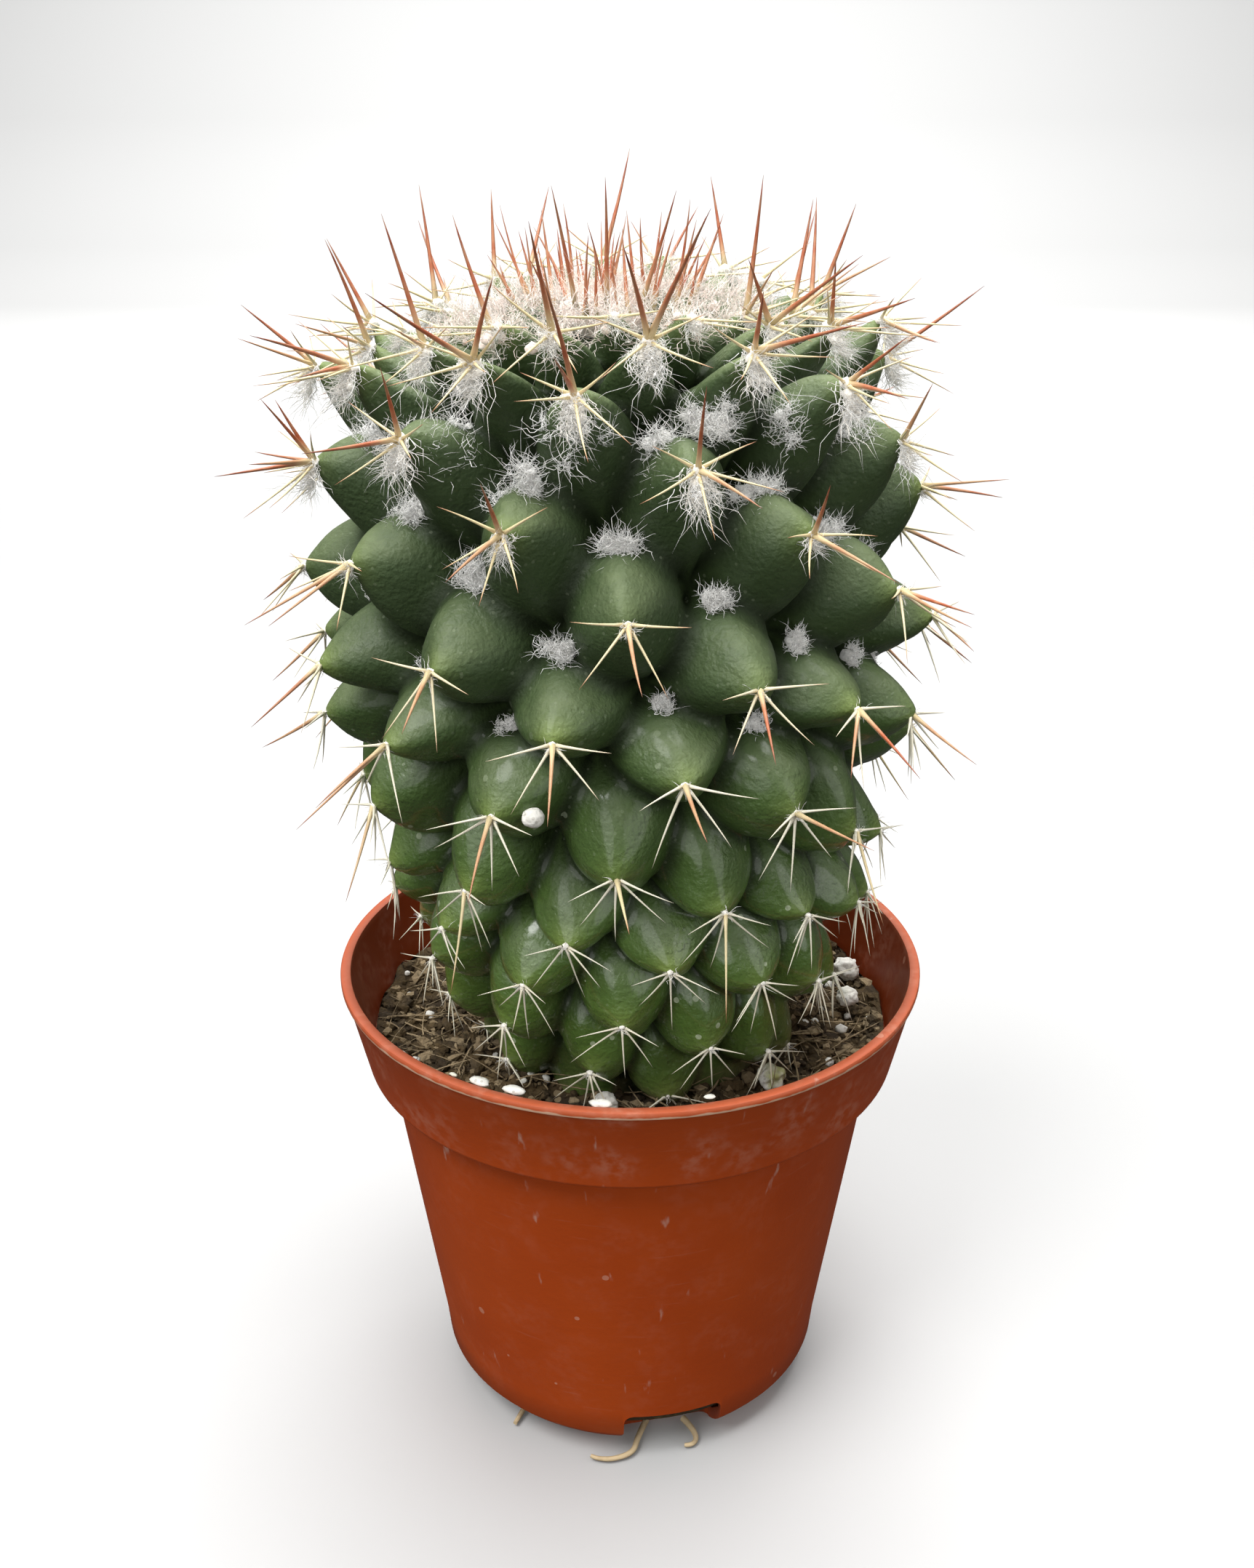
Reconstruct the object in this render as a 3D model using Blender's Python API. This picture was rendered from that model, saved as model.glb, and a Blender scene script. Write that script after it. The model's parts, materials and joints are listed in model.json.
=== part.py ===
"""A small round cactus with spiral rows of tubercles, rooted in a plastic grower's pot.

The pot stands on z = 0 with its axis on Z, and -Y is the front. All sizes are in metres.
The stem is a Fibonacci lattice: areole number n stands at n times the golden angle, so
its neighbours are n - 8, n + 8, n - 13 and n + 13, and each tubercle fills one rhombus.
"""
import math

import bmesh
import bpy
from mathutils import Matrix, Vector, noise

# Pot
RIM_RADIUS = 0.0275
POT_HEIGHT = 0.0455
WALL = 0.0010
FLOOR = 0.0012
LIP_HEIGHT = 0.0016
LIP_OVERHANG = 0.0007
COLLAR_HEIGHT = 0.0088
COLLAR_TAPER = 0.0021
COLLAR_STEP = 0.0018
BODY_TAPER = 0.0044
FOOT_BEND_WIDTH = 0.0024
FOOT_BEND_HEIGHT = 0.0030
COLLAR_FOOT_RADIUS = RIM_RADIUS - COLLAR_TAPER
BODY_TOP_RADIUS = COLLAR_FOOT_RADIUS - COLLAR_STEP
BODY_BOTTOM_RADIUS = BODY_TOP_RADIUS - BODY_TAPER
FOOT_RADIUS = BODY_BOTTOM_RADIUS - FOOT_BEND_WIDTH
POT_SEGMENTS = 56
NOTCH_COUNT = 6
NOTCH_WIDTH = 0.0095
NOTCH_HEIGHT = 0.0020
NOTCH_DEPTH = 0.0050
FIRST_NOTCH_ANGLE = math.radians(12.5)

# Soil
GAP = 0.0003
SOIL_DROP = 0.0075
SOIL_LUMP = 0.0010
SOIL_LEVEL = POT_HEIGHT - SOIL_DROP

# Stem
GOLDEN_ANGLE = math.radians(137.508)
FIRST_AREOLE = -62
LAST_AREOLE = 100
LATTICE_TURN = math.radians(2.6)
LATTICE_TWIST = math.radians(-2.2)
LATTICE_TWIST_GROWTH = math.radians(4.3)
TWIST_SPAN = 60.0
TUBERCLE_STEPS = 4
TUBERCLE_ROUNDNESS = 2.3
TUBERCLE_FULLNESS = 0.60
BLEND_POWER = 6.0
STEM_OFFSET = 0.0015
STEM_LEAN_LEFT = math.radians(3.2)
STEM_LEAN_FRONT = math.radians(4.6)
STEM_FOOT_RADIUS = 0.0128
STEM_FOOT_DEPTH = 0.0062
CROWN_HEIGHT = 0.0648

# Stations down the stem: areole number, height above the soil, radius.
TIP_STATIONS = (
    (-70, 0.0668, 0.0045),
    (-60, 0.0678, 0.0108),
    (-50, 0.0685, 0.0152),
    (-42, 0.0683, 0.0182),
    (-25, 0.0663, 0.0218),
    (-8, 0.0561, 0.0240),
    (8, 0.0444, 0.0262),
    (25, 0.0358, 0.0257),
    (42, 0.0247, 0.0228),
    (60, 0.0177, 0.0219),
    (85, 0.0048, 0.0174),
    (93, 0.0008, 0.0150),
    (103, -0.0045, 0.0134),
)
GROOVE_STATIONS = (
    (-76, 0.0646, 0.0012),
    (-60, 0.0642, 0.0070),
    (-50, 0.0632, 0.0095),
    (-42, 0.0620, 0.0112),
    (-25, 0.0598, 0.0143),
    (-8, 0.0526, 0.0165),
    (8, 0.0439, 0.0182),
    (25, 0.0373, 0.0188),
    (42, 0.0272, 0.0172),
    (60, 0.0202, 0.0170),
    (85, 0.0068, 0.0140),
    (114, -0.0048, 0.0128),
)

# The hole in the soil that the stem's foot and the taproot stand in
STEM_CLEARANCE = 0.0012
HOLE_FLARE = 0.0017
HOLE_FLOOR_CLEARANCE = 0.0013
ROOT_CLEARANCE = 0.0006
HOLE_FOOT_RADIUS = TIP_STATIONS[-1][2] + STEM_CLEARANCE
HOLE_TOP_RADIUS = HOLE_FOOT_RADIUS + HOLE_FLARE
HOLE_DEPTH = STEM_FOOT_DEPTH + HOLE_FLOOR_CLEARANCE

# Roots under the stem and at the drain notches
TAPROOT_RADIUS = 0.0042
TAPROOT_TIP_RADIUS = 0.0007
TAPROOT_LENGTH = 0.0200
ROOT_RADIUS = 0.00035

# Spines
PAD_RADIUS = 0.0009
PAD_HEIGHT = 0.0006
FIRST_SPINED_AREOLE = -42
LAST_SPINED_AREOLE = -3
RADIAL_LENGTH = 0.0059
RADIAL_TILT = math.radians(58.0)
CENTRAL_LENGTH = 0.0098
CENTRAL_TILT = math.radians(14.0)
SPINE_TAPER = 0.16

# Wool and young spines on the crown
CROWN_WOOL_RADIUS = 0.0045
CROWN_WOOL_HEIGHT = 0.0030
CROWN_PAD_RADIUS = 0.0040
CROWN_SPINE_LENGTH = 0.0066
CROWN_SPINE_INSET = 0.00038
CROWN_RING = 10
SPINE_SPREAD = 120.0
TUFT_RADIUS = 0.0013
# Areoles with wool in the axil above them, and how far it stands out of the groove.
TUFTS = ((-13, 0.0052), (-8, 0.0041), (0, 0.0034), (5, 0.0029), (8, 0.0032), (13, 0.0030))

# Grains of perlite on the soil: angle from the front, distance in from where they would
# touch the wall or out from the stem's hole, height above the soil, radius.
WALL_GRAINS = ((105.6, 0.0000, 0.0016, 0.0013), (91.6, 0.0018, 0.0016, 0.0011))
HOLE_GRAINS = ((-12.1, 0.0013, 0.0014, 0.0011), (39.8, 0.0010, 0.0016, 0.0013))
# The grain that clings to a tubercle: its areole, offset from the tip and radius.
STUCK_GRAIN = (26, (-0.0003, -0.0009, -0.0010), 0.0009)
GRAIN_SQUASH = 0.85

# Root strands: the notch, then hand-set points as the place along the notch, the distance
# out from the foot's widest circle and the height. Each starts right under the soil.
ROOT_ROUTES = (
    (0, ((-0.0017, -0.0043, 0.0008), (-0.0030, -0.0025, 0.0007), (-0.0037, -0.0009, 0.0006),
         (-0.0057, -0.0006, 0.0005), (-0.0073, -0.0010, 0.0005), (-0.0078, -0.0014, 0.0006))),
    (0, ((0.0019, -0.0038, 0.0008), (0.0025, -0.0026, 0.0007), (0.0027, -0.0013, 0.0005),
         (0.0020, -0.0006, 0.0005), (0.0013, -0.0008, 0.0005))),
    (5, ((0.0020, -0.0039, 0.0008), (0.0028, -0.0021, 0.0006), (0.0034, -0.0007, 0.0005))),
)

GREEN = (0.055, 0.105, 0.058)
ORANGE_BROWN = (0.380, 0.058, 0.016)
PEAT = (0.050, 0.032, 0.020)
CREAM = (0.620, 0.520, 0.330)
WHITE_WOOL = (0.720, 0.680, 0.630)
RUST = (0.430, 0.110, 0.050)
PERLITE = (0.780, 0.760, 0.700)
ROOT_BEIGE = (0.560, 0.420, 0.250)

parts = None
cutters = None


def clear_scene():
    """Empty the scene and add the two collections."""
    global parts, cutters
    for item in list(bpy.data.objects):
        bpy.data.objects.remove(item, do_unlink=True)
    parts = bpy.data.collections.new("potted_round_cactus")
    cutters = bpy.data.collections.new("cutters")
    bpy.context.scene.collection.children.link(parts)
    bpy.context.scene.collection.children.link(cutters)


def make_material(name, colour, roughness):
    """Return a non-metallic Principled material."""
    material = bpy.data.materials.new(name)
    material.use_nodes = True
    shader = material.node_tree.nodes["Principled BSDF"]
    shader.inputs["Base Color"].default_value = (*colour, 1.0)
    shader.inputs["Roughness"].default_value = roughness
    shader.inputs["Metallic"].default_value = 0.0
    return material


def add_object(name, bm, material=None, smooth=True, collection=None):
    """Turn a bmesh into a named object in the parts collection."""
    mesh = bpy.data.meshes.new(name)
    bmesh.ops.recalc_face_normals(bm, faces=bm.faces)
    bm.to_mesh(mesh)
    bm.free()
    if material is not None:
        mesh.materials.append(material)
    if smooth:
        mesh.shade_smooth()
        mesh.set_sharp_from_angle(angle=math.radians(40.0))
    item = bpy.data.objects.new(name, mesh)
    (collection or parts).objects.link(item)
    return item


def add_cutter(name, bm):
    """Add a hidden wire-drawn Boolean cutter."""
    cutter = add_object(name, bm, smooth=False, collection=cutters)
    cutter.hide_render = True
    cutter.display_type = "WIRE"
    return cutter


def cut(item, cutter):
    """Subtract a cutter from an object."""
    modifier = item.modifiers.new("cut_" + cutter.name, "BOOLEAN")
    modifier.operation = "DIFFERENCE"
    modifier.solver = "EXACT"
    modifier.object = cutter


def turned(profile, segments):
    """Return a bmesh of a profile turned about Z; it runs from the axis to the axis."""
    bm = bmesh.new()
    points = [bm.verts.new((radius, 0.0, height)) for radius, height in profile]
    edges = [bm.edges.new(pair) for pair in zip(points, points[1:])]
    bmesh.ops.spin(bm, geom=points + edges, cent=(0, 0, 0), axis=(0, 0, 1),
                   angle=math.tau, steps=segments, use_merge=True)
    bmesh.ops.remove_doubles(bm, verts=bm.verts, dist=1e-6)
    return bm


def station_value(stations, number, column):
    """Read a height (1) or radius (2) between stations with a monotone cubic curve."""
    xs = [row[0] for row in stations]
    ys = [row[column] for row in stations]
    number = min(max(number, xs[0]), xs[-1])
    slopes = [(ys[i + 1] - ys[i]) / (xs[i + 1] - xs[i]) for i in range(len(xs) - 1)]
    tangents = [slopes[0]]
    for before, after in zip(slopes, slopes[1:]):
        same_way = before * after > 0
        tangents.append(2 * before * after / (before + after) if same_way else 0.0)
    tangents.append(slopes[-1])
    i = max(k for k in range(len(xs) - 1) if xs[k] <= number)
    span = xs[i + 1] - xs[i]
    t = (number - xs[i]) / span
    value = (2 * t**3 - 3 * t**2 + 1) * ys[i] + (t**3 - 2 * t**2 + t) * span * tangents[i]
    return value + (3 * t**2 - 2 * t**3) * ys[i + 1] + (t**3 - t**2) * span * tangents[i + 1]


def leaning():
    """Return the matrix that leans the plant and sets it on the soil."""
    left = Matrix.Rotation(-STEM_LEAN_LEFT, 4, "Y")
    front = Matrix.Rotation(STEM_LEAN_FRONT, 4, "X")
    return Matrix.Translation((STEM_OFFSET, 0.0, SOIL_LEVEL)) @ front @ left


def on_stem(stations, number, angle):
    """Return the point of the leaning stem at a lattice number and angle."""
    share = number / TWIST_SPAN
    turn = angle + LATTICE_TURN + LATTICE_TWIST * share + LATTICE_TWIST_GROWTH * share**2
    radius = station_value(stations, number, 2)
    height = station_value(stations, number, 1)
    return leaning() @ Vector((radius * math.sin(turn), -radius * math.cos(turn), height))


def areole_frame(number):
    """Return an areole's point, its outward axis and its downward tangent."""
    angle = number * GOLDEN_ANGLE
    tip = on_stem(TIP_STATIONS, number, angle)
    base = on_stem(GROOVE_STATIONS, number, angle)
    axis = (tip - base).normalized()
    down = Vector((0, 0, -1))
    down = (down - down.dot(axis) * axis).normalized()
    return tip, axis, down


def wrapped(angle):
    """Bring an angle between minus and plus half a turn."""
    return (angle + math.pi) % math.tau - math.pi


EIGHT_STEP = wrapped(8 * GOLDEN_ANGLE)
THIRTEEN_STEP = wrapped(13 * GOLDEN_ANGLE)


def lattice_point(stations, number):
    """Return an areole's point on the tips or in the grooves."""
    return on_stem(stations, number, number * GOLDEN_ANGLE)


def tubercle_data(number):
    """Return a tubercle's foot, the vector up to its areole and its foot radius."""
    foot = lattice_point(GROOVE_STATIONS, number)
    around = [lattice_point(GROOVE_STATIONS, number + step) for step in (-13, -8, 8, 13)]
    spacing = sum((point - foot).length for point in around) / len(around)
    return foot, lattice_point(TIP_STATIONS, number) - foot, spacing * TUBERCLE_FULLNESS


def swollen(point, tubercles):
    """Raise a point of the bare stem by the tubercles it belongs to."""
    shares = []
    for foot, rise, radius in tubercles:
        share = max(0.0, 1 - ((point - foot).length / radius)**TUBERCLE_ROUNDNESS)
        shares.append((share**BLEND_POWER, rise))
    total = sum(share for share, _ in shares)
    if total == 0.0:
        return point, 0.0
    height = total**(1 / BLEND_POWER)
    rise = sum((share * vector for share, vector in shares), Vector()) / total
    return point + height * rise, height


def round_patch(bm, corners):
    """Split a four-cornered patch along its higher diagonal, which keeps it convex."""
    heights = [height for _, height in corners]
    a, b, c, d = [vert for vert, _ in corners]
    if heights[0] + heights[2] > heights[1] + heights[3]:
        bm.faces.new((a, b, c))
        bm.faces.new((a, c, d))
    else:
        bm.faces.new((a, b, d))
        bm.faces.new((b, c, d))


def tubercle(bm, number, tubercles):
    """Add one tubercle's rhombus, raised to a blunt tip at its areole."""
    neighbours = [number + step for step in (0, -5, 5, -8, 8, -13, 13, -21, 21)]
    near = [tubercles[item] for item in neighbours if item in tubercles]
    rows = []
    for i in range(TUBERCLE_STEPS + 1):
        row = []
        for j in range(TUBERCLE_STEPS + 1):
            p = i / TUBERCLE_STEPS - 0.5
            q = j / TUBERCLE_STEPS - 0.5
            angle = number * GOLDEN_ANGLE + p * EIGHT_STEP + q * THIRTEEN_STEP
            base = on_stem(GROOVE_STATIONS, number + 8 * p + 13 * q, angle)
            place, height = swollen(base, near)
            row.append((bm.verts.new(place), height))
        rows.append(row)
    for i in range(TUBERCLE_STEPS):
        for j in range(TUBERCLE_STEPS):
            round_patch(bm, (rows[i][j], rows[i + 1][j], rows[i + 1][j + 1], rows[i][j + 1]))


def close_stem(bm):
    """Close the crown with a low cone and the foot with a buried plug."""
    for edge_loop_top in (True, False):
        middle = SOIL_LEVEL + CROWN_HEIGHT / 2
        rim = [e for e in bm.edges if e.is_boundary]
        rim = [e for e in rim if (e.verts[0].co.z > middle) == edge_loop_top]
        if edge_loop_top:
            ring = bmesh.ops.extrude_edge_only(bm, edges=rim)["geom"]
            verts = [v for v in ring if isinstance(v, bmesh.types.BMVert)]
            bmesh.ops.pointmerge(bm, verts=verts, merge_co=leaning() @ Vector((0, 0, CROWN_HEIGHT)))
            continue
        ring = bmesh.ops.extrude_edge_only(bm, edges=rim)["geom"]
        verts = [v for v in ring if isinstance(v, bmesh.types.BMVert)]
        for vert in verts:
            flat = Vector((vert.co.x - STEM_OFFSET, vert.co.y, 0)).normalized() * STEM_FOOT_RADIUS
            vert.co = (flat.x + STEM_OFFSET, flat.y, SOIL_LEVEL - STEM_FOOT_DEPTH)
        edges = [e for e in ring if isinstance(e, bmesh.types.BMEdge)]
        bmesh.ops.contextual_create(bm, geom=edges)


def build_stem(material):
    """Build the stem with all its tubercles as one closed body."""
    bm = bmesh.new()
    numbers = range(FIRST_AREOLE, LAST_AREOLE + 1)
    tubercles = {number: tubercle_data(number) for number in numbers}
    for number in numbers:
        tubercle(bm, number, tubercles)
    bmesh.ops.remove_doubles(bm, verts=bm.verts, dist=1e-5)
    close_stem(bm)
    bmesh.ops.triangulate(bm, faces=[f for f in bm.faces if len(f.verts) > 4])
    return add_object("stem", bm, material)


def pot_profile():
    """Return the pot's section from the floor's middle, over the rim, to the foot."""
    lip_foot = POT_HEIGHT - LIP_HEIGHT
    collar_foot = POT_HEIGHT - COLLAR_HEIGHT
    collar_top = RIM_RADIUS - LIP_OVERHANG
    edge = 0.0003
    return [
        (0.0, FLOOR),
        (FOOT_RADIUS - WALL, FLOOR),
        (BODY_BOTTOM_RADIUS - WALL, FOOT_BEND_HEIGHT + FLOOR / 2),
        (BODY_TOP_RADIUS - WALL, collar_foot + WALL),
        (COLLAR_FOOT_RADIUS - WALL, collar_foot + 2 * WALL),
        (collar_top - WALL, POT_HEIGHT - edge),
        (collar_top - WALL + edge, POT_HEIGHT),
        (RIM_RADIUS - edge, POT_HEIGHT),
        (RIM_RADIUS, POT_HEIGHT - edge),
        (RIM_RADIUS, lip_foot + edge),
        (collar_top, lip_foot),
        (COLLAR_FOOT_RADIUS + edge, collar_foot + edge),
        (COLLAR_FOOT_RADIUS - edge, collar_foot),
        (BODY_TOP_RADIUS, collar_foot),
        (BODY_BOTTOM_RADIUS, FOOT_BEND_HEIGHT),
        (BODY_BOTTOM_RADIUS - 0.0009, FOOT_BEND_HEIGHT / 3),
        (FOOT_RADIUS, 0.0),
        (0.0, 0.0),
    ]


def notch_cutter():
    """Return the six boxes that cut the drain notches through the foot's corner."""
    bm = bmesh.new()
    inner = BODY_BOTTOM_RADIUS - NOTCH_DEPTH
    outer = BODY_BOTTOM_RADIUS + NOTCH_DEPTH
    for index in range(NOTCH_COUNT):
        turn = Matrix.Rotation(FIRST_NOTCH_ANGLE + index * math.tau / NOTCH_COUNT, 4, "Z")
        place = Matrix.Translation((0.0, -(inner + outer) / 2, 0.0))
        size = Matrix.Diagonal((NOTCH_WIDTH, outer - inner, 2 * NOTCH_HEIGHT, 1.0))
        bmesh.ops.create_cube(bm, size=1.0, matrix=turn @ place @ size)
    return add_cutter("drain_notches", bm)


def build_pot(material):
    """Build the thin-walled pot with its collar, lip and drain notches."""
    pot = add_object("pot", turned(pot_profile(), POT_SEGMENTS), material)
    cut(pot, notch_cutter())
    return pot


def wall_inside(height):
    """Return the inner radius of the pot's body below the collar, at a height."""
    low = FOOT_BEND_HEIGHT + FLOOR / 2
    high = POT_HEIGHT - COLLAR_HEIGHT + WALL
    share = (height - low) / (high - low)
    return BODY_BOTTOM_RADIUS - WALL + share * (BODY_TOP_RADIUS - BODY_BOTTOM_RADIUS)


def room_inside(height):
    """Return the pot's inner radius at a height, with the step out into the collar."""
    inner = [(z, radius) for radius, z in pot_profile()[2:6]]
    for (low, narrow), (high, wide) in zip(inner, inner[1:]):
        if height <= high:
            break
    return narrow + (wide - narrow) * (height - low) / (high - low)


def grain_reach(height, radius):
    """Return how far out a grain's centre may lie at a height, a gap clear of the wall."""
    steps = 8
    reaches = []
    for step in range(-steps, steps + 1):
        rise = radius * step / steps
        half_width = math.sqrt(radius**2 - rise**2)
        reaches.append(room_inside(height + rise * GRAIN_SQUASH) - half_width)
    return min(reaches) - GAP


def build_soil(material):
    """Build the root ball of potting soil with a hole for the stem and the taproot."""
    low = FOOT_BEND_HEIGHT + FLOOR / 2
    side = wall_inside(SOIL_LEVEL) - 1.5 * GAP
    ring_count = 5
    inner_ring = HOLE_TOP_RADIUS - 0.004
    rings = [inner_ring + (side - inner_ring) * k / ring_count for k in range(ring_count + 1)]
    profile = [(0.0, SOIL_LEVEL)]
    profile += [(radius, SOIL_LEVEL) for radius in rings]
    profile.append((wall_inside(SOIL_LEVEL - 0.004) - 1.2 * GAP, SOIL_LEVEL - 0.004))
    profile.append((BODY_BOTTOM_RADIUS - WALL - 1.2 * GAP, low + GAP))
    profile.append((FOOT_RADIUS - WALL - 1.5 * GAP, FLOOR + GAP))
    profile.append((0.0, FLOOR + GAP))
    bm = turned(profile, 40)
    for vert in bm.verts:
        if vert.co.z > SOIL_LEVEL - 0.001:
            spot = Vector((vert.co.x, vert.co.y, 0.0))
            lump = noise.noise(spot * 260.0) + 0.6 * noise.noise(spot * 620.0)
            vert.co.z += SOIL_LUMP * lump
    soil = add_object("soil", bm, material)
    hole = bmesh.new()
    depth = HOLE_DEPTH + 0.004
    place = Matrix.Translation((STEM_OFFSET, 0.0, SOIL_LEVEL - HOLE_DEPTH + depth / 2))
    bmesh.ops.create_cone(hole, cap_ends=True, segments=36, radius1=HOLE_FOOT_RADIUS,
                          radius2=HOLE_TOP_RADIUS, depth=depth, matrix=place)
    cut(soil, add_cutter("stem_hole", hole))
    root_hole = bmesh.new()
    length = TAPROOT_LENGTH + 0.001
    place = Matrix.Translation((STEM_OFFSET, 0.0, SOIL_LEVEL - HOLE_DEPTH - length / 2 + 0.0005))
    bmesh.ops.create_cone(root_hole, cap_ends=True, segments=16,
                          radius1=TAPROOT_TIP_RADIUS + ROOT_CLEARANCE,
                          radius2=TAPROOT_RADIUS + ROOT_CLEARANCE, depth=length, matrix=place)
    cut(soil, add_cutter("taproot_hole", root_hole))
    return soil


def build_taproot(material):
    """Build the tapering root that hangs under the stem inside the soil."""
    top = SOIL_LEVEL - STEM_FOOT_DEPTH - GAP
    bend = 0.0009
    profile = [
        (0.0, top),
        (TAPROOT_RADIUS - bend, top),
        (TAPROOT_RADIUS, top - bend),
        (TAPROOT_RADIUS * 0.62, top - TAPROOT_LENGTH * 0.45),
        (TAPROOT_TIP_RADIUS, top - TAPROOT_LENGTH),
        (0.0, top - TAPROOT_LENGTH),
    ]
    root = add_object("taproot", turned(profile, 16), material)
    root.location.x = STEM_OFFSET
    return root


def build_root_strand(name, notch, points, material):
    """Build one thin root strand that comes out of a drain notch."""
    turn = Matrix.Rotation(FIRST_NOTCH_ANGLE + notch * math.tau / NOTCH_COUNT, 4, "Z")
    curve = bpy.data.curves.new(name, "CURVE")
    curve.dimensions = "3D"
    curve.bevel_depth = ROOT_RADIUS
    curve.bevel_resolution = 1
    curve.use_fill_caps = True
    curve.materials.append(material)
    spline = curve.splines.new("POLY")
    spline.points.add(len(points) - 1)
    for point, (along, out, height) in zip(spline.points, points):
        place = turn @ Vector((along, -BODY_BOTTOM_RADIUS - out, height))
        point.co = (*place, 1.0)
    strand = bpy.data.objects.new(name, curve)
    parts.objects.link(strand)
    return strand


def grow_spine(bm, face, direction, length, taper, inset=0.0):
    """Draw a face of the pad out into one tapering spine, narrowed at its root by an inset."""
    if inset > 0.0:
        bmesh.ops.inset_individual(bm, faces=[face], thickness=inset)
    centre = face.calc_center_median()
    new_face = bmesh.ops.extrude_discrete_faces(bm, faces=[face])["faces"][0]
    for vert in new_face.verts:
        vert.co = centre + direction * length + (vert.co - centre) * taper


def areole_pad(radius, height, segments):
    """Return a small round pad with its top poked into triangles, standing on z = 0."""
    bm = bmesh.new()
    place = Matrix.Translation((0, 0, height / 2)) @ Matrix.Rotation(math.pi / segments, 4, "Z")
    bmesh.ops.create_cone(bm, cap_ends=True, segments=segments, radius1=radius,
                          radius2=radius * 0.8, depth=height, matrix=place)
    top = max(bm.faces, key=lambda f: f.calc_center_median().z)
    bmesh.ops.poke(bm, faces=[top], offset=height * 0.3)
    return bm


def side_faces(bm, count):
    """Return the pad's side faces in order of angle from its local +X."""
    sides = sorted(bm.faces, key=lambda f: abs(f.normal.z))[:count]
    return sorted(sides, key=lambda f: math.atan2(f.calc_center_median().y,
                                                  f.calc_center_median().x) % math.tau)


def build_areole(number, pad_material):
    """Build one spine cluster: a woolly pad with radial spines and two centrals."""
    bm = areole_pad(PAD_RADIUS, PAD_HEIGHT, 8)
    bm.normal_update()
    youth = (LAST_SPINED_AREOLE - number) / (LAST_SPINED_AREOLE - FIRST_SPINED_AREOLE)
    sides = side_faces(bm, 8)
    tops = sorted((f for f in bm.faces if len(f.verts) == 3 and f.normal.z > 0),
                  key=lambda f: f.calc_center_median().x)
    for index, face in enumerate(sides):
        if index == 4:
            continue
        centre = face.calc_center_median()
        angle = math.atan2(centre.y, centre.x)
        tilt = RADIAL_TILT + math.radians(7.0) * math.sin(number * 1.5 + index * 2.3)
        direction = Vector((math.cos(angle) * math.sin(tilt), math.sin(angle) * math.sin(tilt),
                            math.cos(tilt)))
        length = RADIAL_LENGTH * (0.85 + 0.15 * math.cos(angle)) * (1.0 - 0.38 * youth)
        grow_spine(bm, face, direction, length, SPINE_TAPER)
    swing = math.radians(16.0) * math.sin(number * 2.1)
    for face, tilt_down in ((tops[-1], CENTRAL_TILT * (1.6 - 1.6 * youth)), (tops[0], -CENTRAL_TILT)):
        direction = Vector((math.sin(tilt_down), math.sin(swing) * math.cos(tilt_down),
                            math.cos(swing) * math.cos(tilt_down)))
        grow_spine(bm, face, direction, CENTRAL_LENGTH * (0.8 + 0.2 * youth), SPINE_TAPER)
    tip, axis, down = areole_frame(number)
    side = axis.cross(down)
    turn = Matrix((down, side, axis)).transposed().to_4x4()
    place = Matrix.Translation(tip + axis * GAP)
    bmesh.ops.transform(bm, matrix=place @ turn, verts=bm.verts)
    name = "areole_%02d" % (number - FIRST_SPINED_AREOLE + 1)
    return add_object(name, bm, pad_material, smooth=False)


def woolly_lump(name, radius, squash, place, material):
    """Build a small uneven tuft of wool or a grain, seated by its matrix."""
    bm = bmesh.new()
    bmesh.ops.create_icosphere(bm, subdivisions=2, radius=radius)
    for vert in bm.verts:
        vert.co *= 1.0 + 0.14 * noise.noise(vert.co * 900.0 + place.translation * 300.0)
        vert.co.z *= squash
    bmesh.ops.transform(bm, matrix=place, verts=bm.verts)
    return add_object(name, bm, material)


def grain_places():
    """Return the place and radius of each grain of perlite."""
    places = []
    for angle, inset, height, radius in WALL_GRAINS:
        turn = Matrix.Rotation(math.radians(angle), 4, "Z")
        reach = grain_reach(SOIL_LEVEL + height, radius) - inset
        places.append((turn @ Vector((0, -reach, SOIL_LEVEL + height)), radius))
    for angle, out, height, radius in HOLE_GRAINS:
        turn = Matrix.Rotation(math.radians(angle), 4, "Z")
        place = turn @ Vector((0, -HOLE_TOP_RADIUS - out, SOIL_LEVEL + height))
        places.append((place + Vector((STEM_OFFSET, 0, 0)), radius))
    number, offset, radius = STUCK_GRAIN
    places.append((lattice_point(TIP_STATIONS, number) + Vector(offset), radius))
    return places


def build_tuft(index, number, stand_out, material):
    """Build the wool in the axil above a tubercle."""
    corner_number = number - 10.5
    corner_angle = number * GOLDEN_ANGLE - (EIGHT_STEP + THIRTEEN_STEP) / 2
    corner = on_stem(GROOVE_STATIONS, corner_number, corner_angle)
    outward = Vector((corner.x - STEM_OFFSET, corner.y, 0.0)).normalized()
    outward = (outward + Vector((0, 0, 0.25))).normalized()
    place = Matrix.Translation(corner + outward * stand_out)
    return woolly_lump("axil_wool_%d" % index, TUFT_RADIUS, 1.0, place, material)


def build_crown_wool(material):
    """Build the cushion of wool in the middle of the crown."""
    profile = [(0.0, CROWN_WOOL_HEIGHT)]
    for step in range(1, 5):
        angle = step * math.pi / 8
        profile.append((CROWN_WOOL_RADIUS * math.sin(angle), CROWN_WOOL_HEIGHT * math.cos(angle)))
    profile.append((CROWN_WOOL_RADIUS * 0.8, -0.0003))
    profile.append((0.0, 0.0))
    bm = turned(profile, 16)
    lift = Matrix.Translation((0, 0, CROWN_HEIGHT + 4 * GAP))
    bmesh.ops.transform(bm, matrix=leaning() @ lift, verts=bm.verts)
    return add_object("crown_wool", bm, material)


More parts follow.
